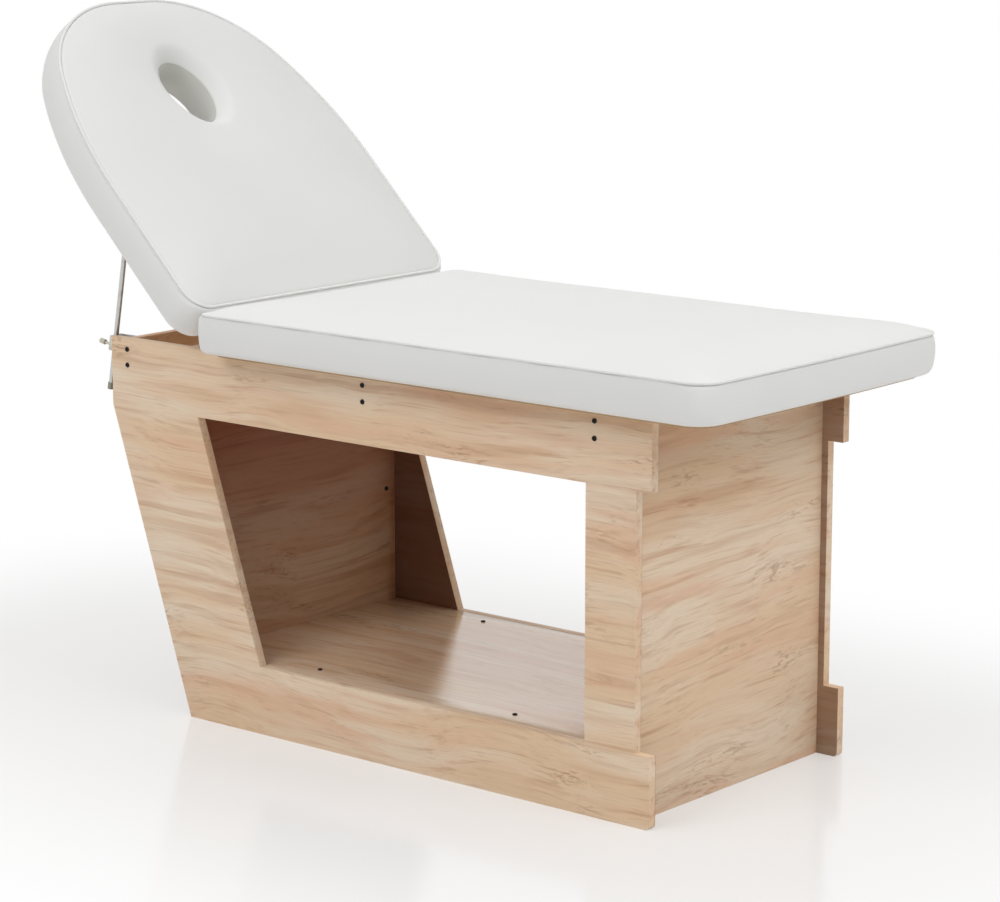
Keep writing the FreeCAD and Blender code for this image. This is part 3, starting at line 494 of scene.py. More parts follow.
def islands(node: str) -> list[tuple[Vector, Vector]]:
    """Lowest and highest corners of each separate solid of a node.

    Args:
        node: the CAD node's name.

    Returns:
        One pair of corners for each solid.
    """
    work = copied(node)
    left, found = set(work.verts), []
    while left:
        stack, group = [left.pop()], []
        while stack:
            vert = stack.pop()
            group.append(vert.co.copy())
            for edge in vert.link_edges:
                other = edge.other_vert(vert)
                if other in left:
                    left.remove(other)
                    stack.append(other)
        low = Vector([min(p[i] for p in group) for i in range(3)])
        high = Vector([max(p[i] for p in group) for i in range(3)])
        found.append((low, high))
    work.free()
    return sorted(found, key=lambda pair: tuple(pair[0]))


# Outlines of the cushions, in metres from the hinged end
@dataclass(frozen=True)
class Run:
    """A stretch of an outline: the place at a share of it, and its length."""

    at: Callable[[float], Vector]
    length: float


def straight(*places: float) -> Run:
    """Straight run between two places, given as four numbers."""
    start, end = Vector(places[:2]), Vector(places[2:])
    return Run(lambda share: start.lerp(end, share), (end - start).length)


def arc(centre: tuple[float, float], radius: float, start: float, end: float) -> Run:
    """Arc about a centre from one angle to another."""
    def at(share: float) -> Vector:
        """The place at a share of the arc."""
        angle = start + (end - start) * share
        return Vector(centre) + Vector((math.cos(angle), math.sin(angle))) * radius

    return Run(at, abs(end - start) * radius)


def both_sides(half: list[Vector]) -> list[Vector]:
    """Closed outline from the half on one side of the bed's middle."""
    return half + [Vector((place.x, -place.y)) for place in reversed(half[1:-1])]


def unit(value: float) -> float:
    """A value kept between 0 and 1."""
    return min(max(value, 0.0), 1.0)


@dataclass(frozen=True)
class Pressure:
    """How the cover is blown out over its foam, in Blender's cloth units."""

    voxel: float = 0.0085
    frames: int = 20
    quality: int = 5
    mass: float = 0.3
    stretch: float = 12.0
    shear: float = 6.0
    bend: float = 0.6
    force: float = 4.0
    neighbours: int = 10

    def setup(self, trial: bpy.types.Object, held: str) -> None:
        """Give a trial mesh its cloth.

        Args:
            trial: the mesh object.
            held: the vertex group that can't move.
        """
        cloth = trial.modifiers.new("Cloth", "CLOTH")
        settings = cloth.settings
        settings.quality, settings.mass = self.quality, self.mass
        settings.tension_stiffness = settings.compression_stiffness = self.stretch
        settings.shear_stiffness, settings.bending_stiffness = self.shear, self.bend
        settings.use_pressure, settings.uniform_pressure_force = True, self.force
        settings.vertex_group_mass = held
        settings.effector_weights.gravity = 0.0
        cloth.collision_settings.use_collision = False
        cloth.point_cache.frame_start, cloth.point_cache.frame_end = 1, self.frames


@dataclass
class Cushion:
    """Stuffed cushion on a board: hinged end at joint_x, running towards the foot or the head."""

    name: str
    body: str
    joint_x: float
    way: int
    bottom: float
    piping: float
    length: float
    roof: float
    half_width: float = 0.342
    crown: float = 0.023
    crown_depth: float = 0.110
    crown_power: float = 2.6
    bulge: float = 0.003
    bottom_round: float = 0.0105
    recess: float = 0.0222
    joint_recess: float = 0.0117
    joint_round: float = 0.008
    joint_pace: float = 0.985
    corner_growth: float = 0.25
    swell: float = 0.0085
    seam_depth: float = 0.0034
    seam_width: float = 0.0038
    welt_radius: float = 0.0027
    welt_step: float = 0.008
    fill: float = 0.85
    steps: tuple[int, ...] = (16, 8, 44, 12, 20)
    pressure: Pressure = Pressure()
    seam_line: KDTree | None = None

    def runs(self, inset: float, joint_inset: float) -> list[Run]:
        """Half outline from the middle of the hinged end to the middle of the far end."""
        raise NotImplementedError

    def joint_runs(self, inset: float, joint_inset: float, radius: float, side_end: float) -> list[Run]:
        """Hinged end, its corner and the straight side."""
        half = self.half_width - inset
        radius = min(radius, 0.8 * half)
        centre = (joint_inset + radius, half - radius)
        return [
            straight(joint_inset, 0, joint_inset, half - radius),
            arc(centre, radius, math.pi, math.pi / 2),
            straight(joint_inset + radius, half, side_end, half),
        ]

    def loop(self, work: BMesh, inset: float, joint_inset: float, height: float) -> list[BMVert]:
        """Closed ring of points at one height.

        Args:
            work: the shape to add to.
            inset: how far inside the piping line.
            joint_inset: the same at the hinged end.
            height: metres above the floor, with the cushion laid flat.

        Returns:
            The ring's points in order.
        """
        half: list[Vector] = []
        for run, count in zip(self.runs(inset, joint_inset), self.steps):
            half += [run.at(step / count) for step in range(count)]
        half.append(self.runs(inset, joint_inset)[-1].at(1.0))
        return [work.verts.new((self.joint_x + self.way * p.x, p.y, height)) for p in both_sides(half)]

    def side_profile(self) -> list[tuple[float, float, float]]:
        """Inset, inset at the hinged end, and height, from the bottom lip up to the piping."""
        profile = []
        for degrees in (0, 22, 45, 67):
            angle = math.radians(degrees)
            inset = self.bottom_round * (1 - math.sin(angle))
            profile.append((inset, 0.4 * inset, self.bottom + 0.0003 + self.bottom_round * (1 - math.cos(angle))))
        low = self.bottom + self.bottom_round
        for share in (0.0, 0.09, 0.2, 0.33, 0.47, 0.60, 0.72, 0.82, 0.90, 0.955):
            height = low + (self.piping - low) * share
            puff = self.bulge * math.sin(math.pi * min(share / 0.955, 1.0)) ** 0.7
            profile.append((-puff, self.joint_inset_at(height), height))
        profile.append((0.0003, self.joint_inset_at(self.piping - 0.0018), self.piping - 0.0018))
        profile.append((0.0012, self.joint_inset_at(self.piping), self.piping))
        return profile

    def joint_inset_at(self, height: float) -> float:
        """How far the rolled upper edge stands back from the hinged end."""
        up = min(max(height - (self.piping - self.joint_round), 0.0), self.joint_round)
        return self.joint_round - math.sqrt(self.joint_round ** 2 - up ** 2)

    def crown_profile(self) -> list[tuple[float, float, float]]:
        """Inset, inset at the hinged end, and height, from the piping to the top."""
        profile = []
        for share in (0.020, 0.045, 0.077, 0.118, 0.173, 0.245, 0.336, 0.455, 0.618, 0.80, 1.0):
            depth = share * self.crown_depth
            rise = (1 - (1 - share) ** self.crown_power) * (self.crown - self.swell)
            profile.append((depth, self.joint_round + depth * self.joint_pace, self.piping + rise))
        return profile

    def under_profile(self, plain: bool) -> list[tuple[float, float, float]]:
        """Inset, inset at the hinged end, and height, from the recess for the board out to the bottom lip."""
        if plain:
            return []
        return [
            (self.recess, self.joint_recess, self.roof),
            (self.recess, self.joint_recess, self.bottom + 0.0006),
            (self.recess - 0.0008, self.joint_recess - 0.0005, self.bottom + 0.0003),
        ]

    def shell(self, plain: bool) -> BMesh:
        """The closed form.

        Args:
            plain: flat underside, for the simulation, and not the recess that holds the board.

        Returns:
            The shape, laid flat.
        """
        work = bmesh.new()
        rings = [self.loop(work, *ring) for ring in self.side_profile() + self.crown_profile()]
        rings = [self.loop(work, *ring) for ring in self.under_profile(plain)] + rings
        for low, high in zip(rings, rings[1:]):
            self.join(work, low, high)
        self.close_bottom(work, rings[0], self.close_top(work, rings[-1]), plain)
        face_out(work)
        return work

    @staticmethod
    def join(work: BMesh, low: list[BMVert], high: list[BMVert]) -> None:
        """Join two rings point by point, which keeps the columns in line."""
        for index in range(len(low)):
            before = index - 1
            work.faces.new((low[before], low[index], high[index], high[before]))

    def close_top(self, work: BMesh, ring: list[BMVert]) -> list[BMVert]:
        """Fill the top inside its last ring, and return the ring where that ends."""
        raise NotImplementedError

    def close_bottom(self, work: BMesh, ring: list[BMVert], top_end: list[BMVert], plain: bool) -> None:
        """Close the underside inside its first ring."""
        raise NotImplementedError

    def held(self, place: Vector) -> float:
        """1 where the cover can't move, 0 where it is free, for a place on the flat cushion."""
        ease, joint_held, seam_held, seam_ease = 0.014, 0.006, 0.003, 0.012
        from_bottom = unit((place.z - self.bottom - self.bottom_round) / ease)
        from_joint = unit(((place.x - self.joint_x) * self.way - joint_held) / (2 * ease))
        return 1.0 - from_bottom * from_joint * unit((self.seam_distance(place) - seam_held) / seam_ease)

    def seam_runs(self, inset: float) -> list[Run]:
        """Half outline of the piping, a little inside its line."""
        return self.runs(inset, self.joint_round + inset)

    def seam_distance(self, place: Vector) -> float:
        """How far a place on the flat cushion is from the piping line."""
        if self.seam_line is None:
            places = [run.at(step / 80).to_3d() for run in self.seam_runs(0.0) for step in range(81)]
            self.seam_line = KDTree(len(places))
            for index, place in enumerate(places):
                self.seam_line.insert(place, index)
            self.seam_line.balance()
        seen_flat = Vector(((place.x - self.joint_x) * self.way, abs(place.y), 0))
        return math.hypot(self.seam_line.find(seen_flat)[2], place.z - self.piping)

    def pressed(self) -> tuple[KDTree, list[Vector]]:
        """Simulate the cover over its foam on an even trial mesh.

        Returns:
            Where the trial's points start, and how far each one moves.
        """
        mesh = meshed(self.name + "_trial", self.shell(plain=True))
        trial = linked(self.name + "_trial", mesh)
        bpy.context.view_layer.objects.active = trial
        remesh = trial.modifiers.new("Remesh", "REMESH")
        remesh.mode, remesh.voxel_size, remesh.use_smooth_shade = "VOXEL", self.pressure.voxel, True
        bpy.ops.object.modifier_apply(modifier=remesh.name)
        before = [vert.co.copy() for vert in trial.data.vertices]
        group = trial.vertex_groups.new(name="held")
        for vert in trial.data.vertices:
            group.add([vert.index], self.held(vert.co), "REPLACE")
        self.pressure.setup(trial, group.name)
        scene = bpy.context.scene
        for number in range(1, self.pressure.frames + 1):
            scene.frame_set(number)
        shape = trial.evaluated_get(bpy.context.evaluated_depsgraph_get()).to_mesh()
        tree = KDTree(len(before))
        moves = []
        for index, (start, vert) in enumerate(zip(before, shape.vertices)):
            tree.insert(start, index)
            move = vert.co - start
            moves.append(move * (math.tanh(move.length / self.swell) * self.swell / max(move.length, 1e-9)))
        tree.balance()
        scene.frame_set(1)
        bpy.data.objects.remove(trial)
        bpy.data.meshes.remove(mesh)
        return tree, moves

    def puffed(self, work: BMesh) -> None:
        """Move a laid-flat shape's points as the pressed cover near them moves."""
        tree, moves = self.pressed()
        for vert in work.verts:
            share = 1.0 - self.held(vert.co)
            if share <= 0:
                continue
            near = tree.find_n(vert.co, self.pressure.neighbours)
            weights = [1 / (distance + 0.002) ** 2 for _, _, distance in near]
            total = sum((moves[index] * weight for (_, index, _), weight in zip(near, weights)), Vector())
            vert.co += total / sum(weights) * share

    def sewn(self, work: BMesh) -> None:
        """Press the seam in along the piping and crease the cover beside it."""
        work.normal_update()
        reach = 0.014
        for vert in work.verts:
            if abs(vert.co.z - self.piping) <= reach:
                share = math.exp(-(self.seam_distance(vert.co) / self.seam_width) ** 2)
                vert.co -= vert.normal * self.seam_depth * share

    def placed(self, work: BMesh) -> BMesh:
        """The laid-flat shape, moved to where it is at rest."""
        return work

    def build(self, leather: Material, welt: Material) -> list[bpy.types.Object]:
        """Make the cushion and its piping.

        Args:
            leather: the cover's finish.
            welt: the piping's finish.

        Returns:
            The cushion and the piping.
        """
        work = self.shell(plain=False)
        self.puffed(work)
        self.sewn(work)
        whole = 180.0
        cushion = new_piece(self.name + "_cover", self.placed(work), leather, self.body, whole)
        subdivision = cushion.modifiers.new("Subdivision", "SUBSURF")
        subdivision.levels = subdivision.render_levels = 1
        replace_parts(cushion, self.name + "_cushion")
        cord = new_piece(self.name + "_welt", self.placed(self.welt()), welt, self.body, whole)
        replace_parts(cord, self.name + "_piping")
        return [cushion, cord]

    def welt(self) -> BMesh:
        """Covered cord all round the upper edge, a circle drawn along the seam."""
        runs = self.seam_runs(0.0008)
        half: list[Vector] = []
        for run in runs:
            count = max(6, round(run.length / self.welt_step))
            half += [run.at(step / count) for step in range(count)]
        line = both_sides(half + [runs[-1].at(1.0)])
        stations = []
        for index, point in enumerate(line):
            forward = (line[(index + 1) % len(line)] - line[index - 1]).normalized()
            centre = Vector((self.joint_x + self.way * point.x, point.y, self.piping))
            turn = Vector((self.way * forward.x, forward.y, 0)).to_track_quat("Z", "Y").to_matrix().to_4x4()
            stations.append(Matrix.Translation(centre) @ turn)
        work = bmesh.new()
        bmesh.ops.create_circle(work, segments=12, radius=self.welt_radius, matrix=stations[0])
        edges = work.edges[:]
        for before, after in zip(stations, stations[1:] + stations[:1]):
            edges, ring = extruded(work, edges)
            bmesh.ops.transform(work, matrix=after @ before.inverted(), verts=ring)
        weld(work)
        face_out(work)
        return work


@dataclass
class LegCushion(Cushion):
    """Long fixed cushion with rounded corners at its foot."""

    foot_corner: float = 0.045
    foot_corner_shrink: float = 0.12
    foot_arc: float = 9.0
    joint_corner: float = 0.010
    top_depths: tuple[float, ...] = (0.140, 0.175, 0.210, 0.245, 0.280, 0.310)
    top_lift: float = 0.0009

    def runs(self, inset: float, joint_inset: float) -> list[Run]:
        """Half outline from the middle of the hinged end to the middle of the foot."""
        half = self.half_width - inset
        joint_radius = self.joint_corner + self.corner_growth * max(inset, 0)
        corner = self.foot_corner - self.foot_corner_shrink * max(inset, 0)
        middle = self.length - inset - self.foot_arc
        corner_y = half - corner
        reach = math.sqrt((self.foot_arc - corner) ** 2 - corner_y ** 2)
        swing = math.atan2(corner_y, reach)
        place = (middle + reach, corner_y)
        return self.joint_runs(inset, joint_inset, joint_radius, place[0]) + [
            arc(place, corner, math.pi / 2, swing),
            arc((middle, 0), self.foot_arc, swing, 0),
        ]

    def under_profile(self, plain: bool) -> list[tuple[float, float, float]]:
        """The same, with a narrow step under the board before the flat middle."""
        rings = super().under_profile(plain)
        step = 0.003
        return [(self.recess + step, self.joint_recess + step, self.roof)] + rings if rings else rings

    def close_bottom(self, work: BMesh, ring: list[BMVert], top_end: list[BMVert], plain: bool) -> None:
        """One flat face."""
        work.faces.new(list(reversed(ring)))

    def close_top(self, work: BMesh, ring: list[BMVert]) -> list[BMVert]:
        """Narrow rings towards a long strip, then faces straight across it."""
        height = ring[0].co.z
        rise = self.top_depths[-1] - self.crown_depth
        for depth in self.top_depths:
            lift = self.top_lift * math.sin(math.pi / 2 * (depth - self.crown_depth) / rise)
            inner = self.loop(work, depth, self.joint_round + depth * self.joint_pace, height + lift)
            self.join(work, ring, inner)
            ring = inner
        last = len(ring) // 2
        work.faces.new((ring[0], ring[1], ring[-1]))
        for index in range(1, last - 1):
            work.faces.new((ring[index], ring[index + 1], ring[-index - 1], ring[-index]))
        work.faces.new((ring[last - 1], ring[last], ring[-last + 1]))
        return ring


@dataclass
class BackCushion(Cushion):
    """Backrest cushion with an arched top and an oval face hole, raised about the hinge."""

    side_arc: float = 0.688
    side_turn: float = math.radians(22.9)
    top_flat: float = 0.082
    joint_corner: float = 0.045
    hole_from_joint: float = 0.4994
    hole_length: float = 0.150
    hole_width: float = 0.110
    hole_end: float = 0.042
    # the soft rim of the hole: how far outside its wall, and how high
    rim: tuple[tuple[float, float], ...] = (
        (0.0340, 0.0145), (0.0285, 0.0137), (0.0230, 0.0117), (0.0180, 0.0086), (0.0135, 0.0050), (0.0096, 0.0011),
        (0.0064, -0.0028), (0.0038, -0.0060), (0.0019, -0.0086), (0.0007, -0.0105), (0.0002, -0.0120),
    )
    axis: Vector = field(default_factory=Vector)
    raised: float = math.radians(45)

    @property
    def hole_x(self) -> float:
        """Middle of the face hole on the flat cushion."""
        return self.joint_x + self.way * self.hole_from_joint

    def runs(self, inset: float, joint_inset: float) -> list[Run]:
        """Half outline from the middle of the hinged end to the middle of the top."""
        half = self.half_width - inset
        top = self.length - inset
        radius = self.side_arc - inset
        drop = (self.top_flat / 2 + radius - half) / math.cos(self.side_turn)
        shoulder = radius - drop
        side_end = top - shoulder - drop * math.sin(self.side_turn)
        joint_radius = self.joint_corner + self.corner_growth * max(inset, 0)
        middle = (top - shoulder, self.top_flat / 2)
        lean = math.pi / 2 - self.side_turn
        return self.joint_runs(inset, joint_inset, joint_radius, side_end) + [
            arc((side_end, half - radius), radius, math.pi / 2, lean),
            arc(middle, shoulder, lean, 0),
            straight(top, self.top_flat / 2, top, 0),
        ]

    def oval_reach(self, angle: float, grow: float) -> float:
        """Distance from the hole's middle to its edge in one direction."""
        offset = self.hole_length / 2 - self.hole_end
        shortfall = self.hole_width / 2 - self.hole_end
        side = (offset ** 2 - shortfall ** 2) / (2 * shortfall)
        across, along = abs(math.sin(angle)), abs(math.cos(angle))
        end_radius = self.hole_end + grow
        reach = offset * along + math.sqrt(max(end_radius ** 2 - (offset * across) ** 2, 0))
        if math.atan2(reach * across, reach * along - offset) > math.atan2(side, offset):
            side_radius = self.hole_width / 2 + side + grow
            reach = -side * across + math.sqrt(side_radius ** 2 - (side * along) ** 2)
        return reach

    def on_oval(self, place: Vector, grow: float, height: float) -> Vector:
        """The point of the face hole's outline that faces a place."""
        angle = math.atan2(place.y, place.x - self.hole_x)
        reach = self.oval_reach(angle, grow)
        return Vector((self.hole_x + reach * math.cos(angle), reach * math.sin(angle), height))

    def close_top(self, work: BMesh, ring: list[BMVert]) -> list[BMVert]:
        """Lead the top in to the face hole, over its soft rim and down its wall."""
        edge = ring
        places = [self.on_oval(vert.co, self.rim[0][0], ring[0].co.z) for vert in edge]
        for share in (0.2, 0.4, 0.6, 0.8, 1.0):
            inner = [work.verts.new(vert.co.lerp(place, share)) for vert, place in zip(edge, places)]
            self.join(work, ring, inner)
            ring = inner
        level = self.crown - self.swell - self.rim[0][1]
        fold = self.rim[-1][1] + level
        wall = [
            (0.0006, fold - 0.0005), (0.0012, fold + 0.0002), (0.0014, fold + 0.0030),
            (0.0014, self.bottom + 0.0125 - self.piping),
        ]
        for grow, height in [(grow, height + level) for grow, height in self.rim[1:]] + wall:
            inner = [work.verts.new(self.on_oval(vert.co, grow, self.piping + height)) for vert in edge]
            self.join(work, ring, inner)
            ring = inner
        return ring

    def under_profile(self, plain: bool) -> list[tuple[float, float, float]]:
        """The same, and for the simulation a flat ring where the board's edge is."""
        return super().under_profile(plain) or [(self.recess, self.joint_recess, self.bottom)]

    def close_bottom(self, work: BMesh, ring: list[BMVert], top_end: list[BMVert], plain: bool) -> None:
        """Lead the wall of the face hole down and out to the first ring."""
        for vert in top_end:
            vert.co.z = self.bottom if plain else self.roof
        self.join(work, top_end, ring)

    def held(self, place: Vector) -> float:
        """The same, and the wall of the face hole is held too."""
        offset = Vector((place.x - self.hole_x, place.y))
        beyond = offset.length - self.oval_reach(math.atan2(offset.y, offset.x), 0.0)
        return 1.0 - (1.0 - super().held(place)) * unit((beyond - 0.012) / 0.034)

    def lining(self, finish: Material) -> bpy.types.Object:
        """Thin cloth wall inside the face hole.

        Args:
            finish: the lining's material.

        Returns:
            The lining.
        """
        top = self.piping + self.rim[-1][1] + 0.0008
        outline = [
            (-0.0002, self.bottom + 0.0003), (-0.0002, top), (-0.0009, top + 0.0003), (-0.0014, top - 0.0002),
            (-0.0014, self.bottom + 0.0006), (-0.0010, self.bottom + 0.0001),
        ]
        work = bmesh.new()
        middle = Matrix.Translation((self.hole_x, 0, 0))
        ring = bmesh.ops.create_circle(work, segments=96, radius=self.hole_end, matrix=middle)["verts"]
        edges = work.edges[:]
        for step, (grow, height) in enumerate(outline + outline[:1]):
            if step:
                edges, ring = extruded(work, edges)
            for vert in ring:
                vert.co = self.on_oval(vert.co, grow, height)
        weld(work, 1e-7)
        face_out(work)
        piece = new_piece("face_hole_lining", self.placed(work), finish, self.body, smooth=50)
        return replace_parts(piece, "face_hole_sleeve")

    def placed(self, work: BMesh) -> BMesh:
        """Raise the cushion about the hinge axis."""
        turn = Matrix.Rotation(self.raised, 4, "Y")
        raise_up = Matrix.Translation(self.axis) @ turn @ Matrix.Translation(-self.axis)
        bmesh.ops.transform(work, matrix=raise_up, verts=work.verts[:])
        return work


# Sub-assemblies
@dataclass
class Cabinet:
    """Wooden boards, cleats and their screws."""

    edge_softness: float = 0.0006
    made: list[str] = field(default_factory=list)

    def board(self, node: str, finish: Material) -> None:
        """A board with its long edges just broken, in place of a CAD board.

        Args:
            node: the CAD node.
            finish: the board's material.
        """
        work = copied(node)
        flat = math.radians(0.5)
        bmesh.ops.dissolve_limit(work, angle_limit=flat, verts=work.verts[:], edges=work.edges[:])
        sharp = [
            edge for edge in work.edges
            if edge.is_manifold and edge.calc_length() > 0.012 and edge.calc_face_angle(0.0) > math.radians(20)
            and not any(0.0005 < other.calc_length() < 0.004 for vert in edge.verts for other in vert.link_edges)
        ]
        bmesh.ops.bevel(
            work, geom=sharp, offset=self.edge_softness, offset_type="OFFSET", segments=2, profile=0.5,
            affect="EDGES", material=-1, clamp_overlap=True,
        )
        piece = new_piece(node + "_board", work, finish, "root", smooth=30)
        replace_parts(piece, node)
        self.made.append(piece.name)

    def build(self, paint: "Finishes") -> list[str]:
        """Make all the boards.

        Args:
            paint: the shared finishes.

        Returns:
            The names of the pieces.
        """
        boards = {
            "side_panel_near": paint.side_near, "side_panel_far": paint.side_far, "foot_panel": paint.foot,
            "shelf": paint.shelf, "cross_rail_head": paint.rail, "cross_rail_middle": paint.rail,
            "cross_rail_foot": paint.rail,
        }
        for node, finish in boards.items():
            self.board(node, finish.build())
        self.board("back_panel", paint.back.build())
        softwood, upright = paint.softwood.build(), paint.upright.build()
        for place, finish in (("shelf", softwood), ("back", upright), ("foot", upright)):
            for side in ("near", "far"):
                self.made.append(dress(f"{place}_cleat_{side}", finish).name)
        return self.made


@dataclass
class Screws:
    """Pan-head screws with a hexagon socket, one piece for each group."""

    node: str
    out: Vector
    body: str = "root"
    shank: float = 0.0020
    head: float = 0.0045
    rise: float = 0.0022
    driver_turn: float = 1.9

    def pattern(self, length: float) -> bpy.types.Mesh:
        """One screw, the top of its head at the origin and pointing up.

        Args:
            length: from the tip to the top of the head.

        Returns:
            The screw's mesh.
        """
        profile = [
            (0.0, -length), (self.shank * 0.55, -length), (self.shank, -length + self.shank),
            (self.shank, -self.rise), (self.head, -self.rise), (self.head, -self.rise * 0.45),
            (self.head * 0.93, -self.rise * 0.16), (self.head * 0.78, 0.0), (self.head * 0.5, 0.0),
        ]
        work = bmesh.new()
        verts = [work.verts.new((x, 0, z)) for x, z in profile]
        edges = [work.edges.new(pair) for pair in zip(verts, verts[1:])]
        bmesh.ops.spin(
            work, geom=verts + edges, cent=(0, 0, 0), axis=(0, 0, 1), angle=2 * math.pi, steps=24, use_merge=True,
        )
        rim = [vert for vert in work.verts if vert.co.z > -1e-7 and vert.co.xy.length < self.head * 0.51]
        half_side, corner = math.pi / 6, self.head * 0.46
        for vert in rim:
            angle = math.atan2(vert.co.y, vert.co.x)
            sector = (angle + half_side) % (2 * half_side) - half_side
            reach = corner * math.cos(half_side) / math.cos(sector)
            vert.co.x, vert.co.y = reach * math.cos(angle), reach * math.sin(angle)
        ring = [edge for edge in work.edges if all(vert in rim for vert in edge.verts)]
        floor, corners = extruded(work, ring)
        bmesh.ops.translate(work, vec=(0, 0, -self.rise * 0.7), verts=corners)
        bmesh.ops.contextual_create(work, geom=floor)
        weld(work, 1e-7)
        face_out(work)
        return meshed(self.node + "_pattern", work)

    def build(self, finish: Material, slot: str) -> str:
        """Make the group, one screw for each solid of the CAD node.

        Args:
            finish: the screws' material.
            slot: not used.

        Returns:
            The piece's name.
        """
        places = islands(self.node)
        low, high = places[0]
        length = abs((high - low).dot(self.out))
        pattern = self.pattern(length)
        work = bmesh.new()
        for index, (low, high) in enumerate(places):
            out = -self.out if self.out.y and (low + high).y > 0 else self.out
            upright = Vector((0, 0, 1)).rotation_difference(out).to_matrix().to_4x4()
            top = Matrix.Translation((low + high) / 2 + out * (length / 2))
            count = len(work.verts)
            work.from_mesh(pattern)
            work.verts.ensure_lookup_table()
            matrix = top @ (upright @ Matrix.Rotation(index * self.driver_turn, 4, "Z"))
            bmesh.ops.transform(work, matrix=matrix, verts=work.verts[count:])
        bpy.data.meshes.remove(pattern)
        piece = new_piece(self.node + "_group", work, finish, self.body, smooth=35)
        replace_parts(piece, self.node)
        return piece.name


@dataclass
class Finishes:
    """Every finish on the bed."""

    # the side panels carry painted shade on their inner faces
    side_near: SideLaminate = SideLaminate("oak_side_near", shift=0.4)
    side_far: SideLaminate = SideLaminate("oak_side_far", shift=1.9)
    foot: OakLaminate = OakLaminate("oak_foot", grain=Grain.ACROSS_BED, shift=3.1)
    shelf: OakLaminate = OakLaminate("oak_shelf", shift=4.7, roughness=0.12, shine=1.0, index=2.0)
    rail: OakLaminate = OakLaminate("oak_rail", grain=Grain.ACROSS_BED, shift=6.2)
    # the back panel carries painted shade on its bay side, darker towards the top
    back: BackLaminate = BackLaminate("oak_back", grain=Grain.ACROSS_BED, shift=7.7, shine=0.15)
    softwood: Plywood = Plywood("softwood", layer=0.006, face=tone(214, 182, 138), glue=tone(182, 142, 98))
    upright: Plywood = Plywood(
        "softwood_upright", lean=math.pi / 2, layer=0.006, face=tone(214, 182, 138), glue=tone(182, 142, 98))
    ply_flat: Plywood = Plywood("ply_flat")
    ply_raised: Plywood = Plywood("ply_raised", lean=-math.radians(45))
    leather: SoftLeather = SoftLeather("white_leather")
    # piping a little paler than the cover: painted highlight along the welt
    welt: SoftLeather = SoftLeather(
        "white_welt", colour=tone(245, 245, 243), shade=tone(241, 241, 239), roughness=0.42)
    # lining greyer than the cover: painted shade inside the face hole
    lining: SoftLeather = SoftLeather(
        "grey_lining", colour=tone(216, 216, 210), shade=tone(202, 202, 196), roughness=0.7)
    zinc: DrawnSteel = DrawnSteel("zinc", 260, roughness=0.36)
    rod: DrawnSteel = DrawnSteel(
        "rod", (1400, 1400, 40), lean=math.radians(10), colour=tone(198, 198, 196), roughness=0.24)
    nickel: DrawnSteel = DrawnSteel(
        "satin_nickel", 400, colour=tone(206, 202, 190), dull=tone(176, 170, 156), roughness=0.34)
    grey: DrawnSteel = DrawnSteel(
        "grey_cap", 400, colour=tone(150, 148, 138), dull=tone(120, 118, 108), roughness=0.45)
    black: BlackOxide = BlackOxide("black_screws")


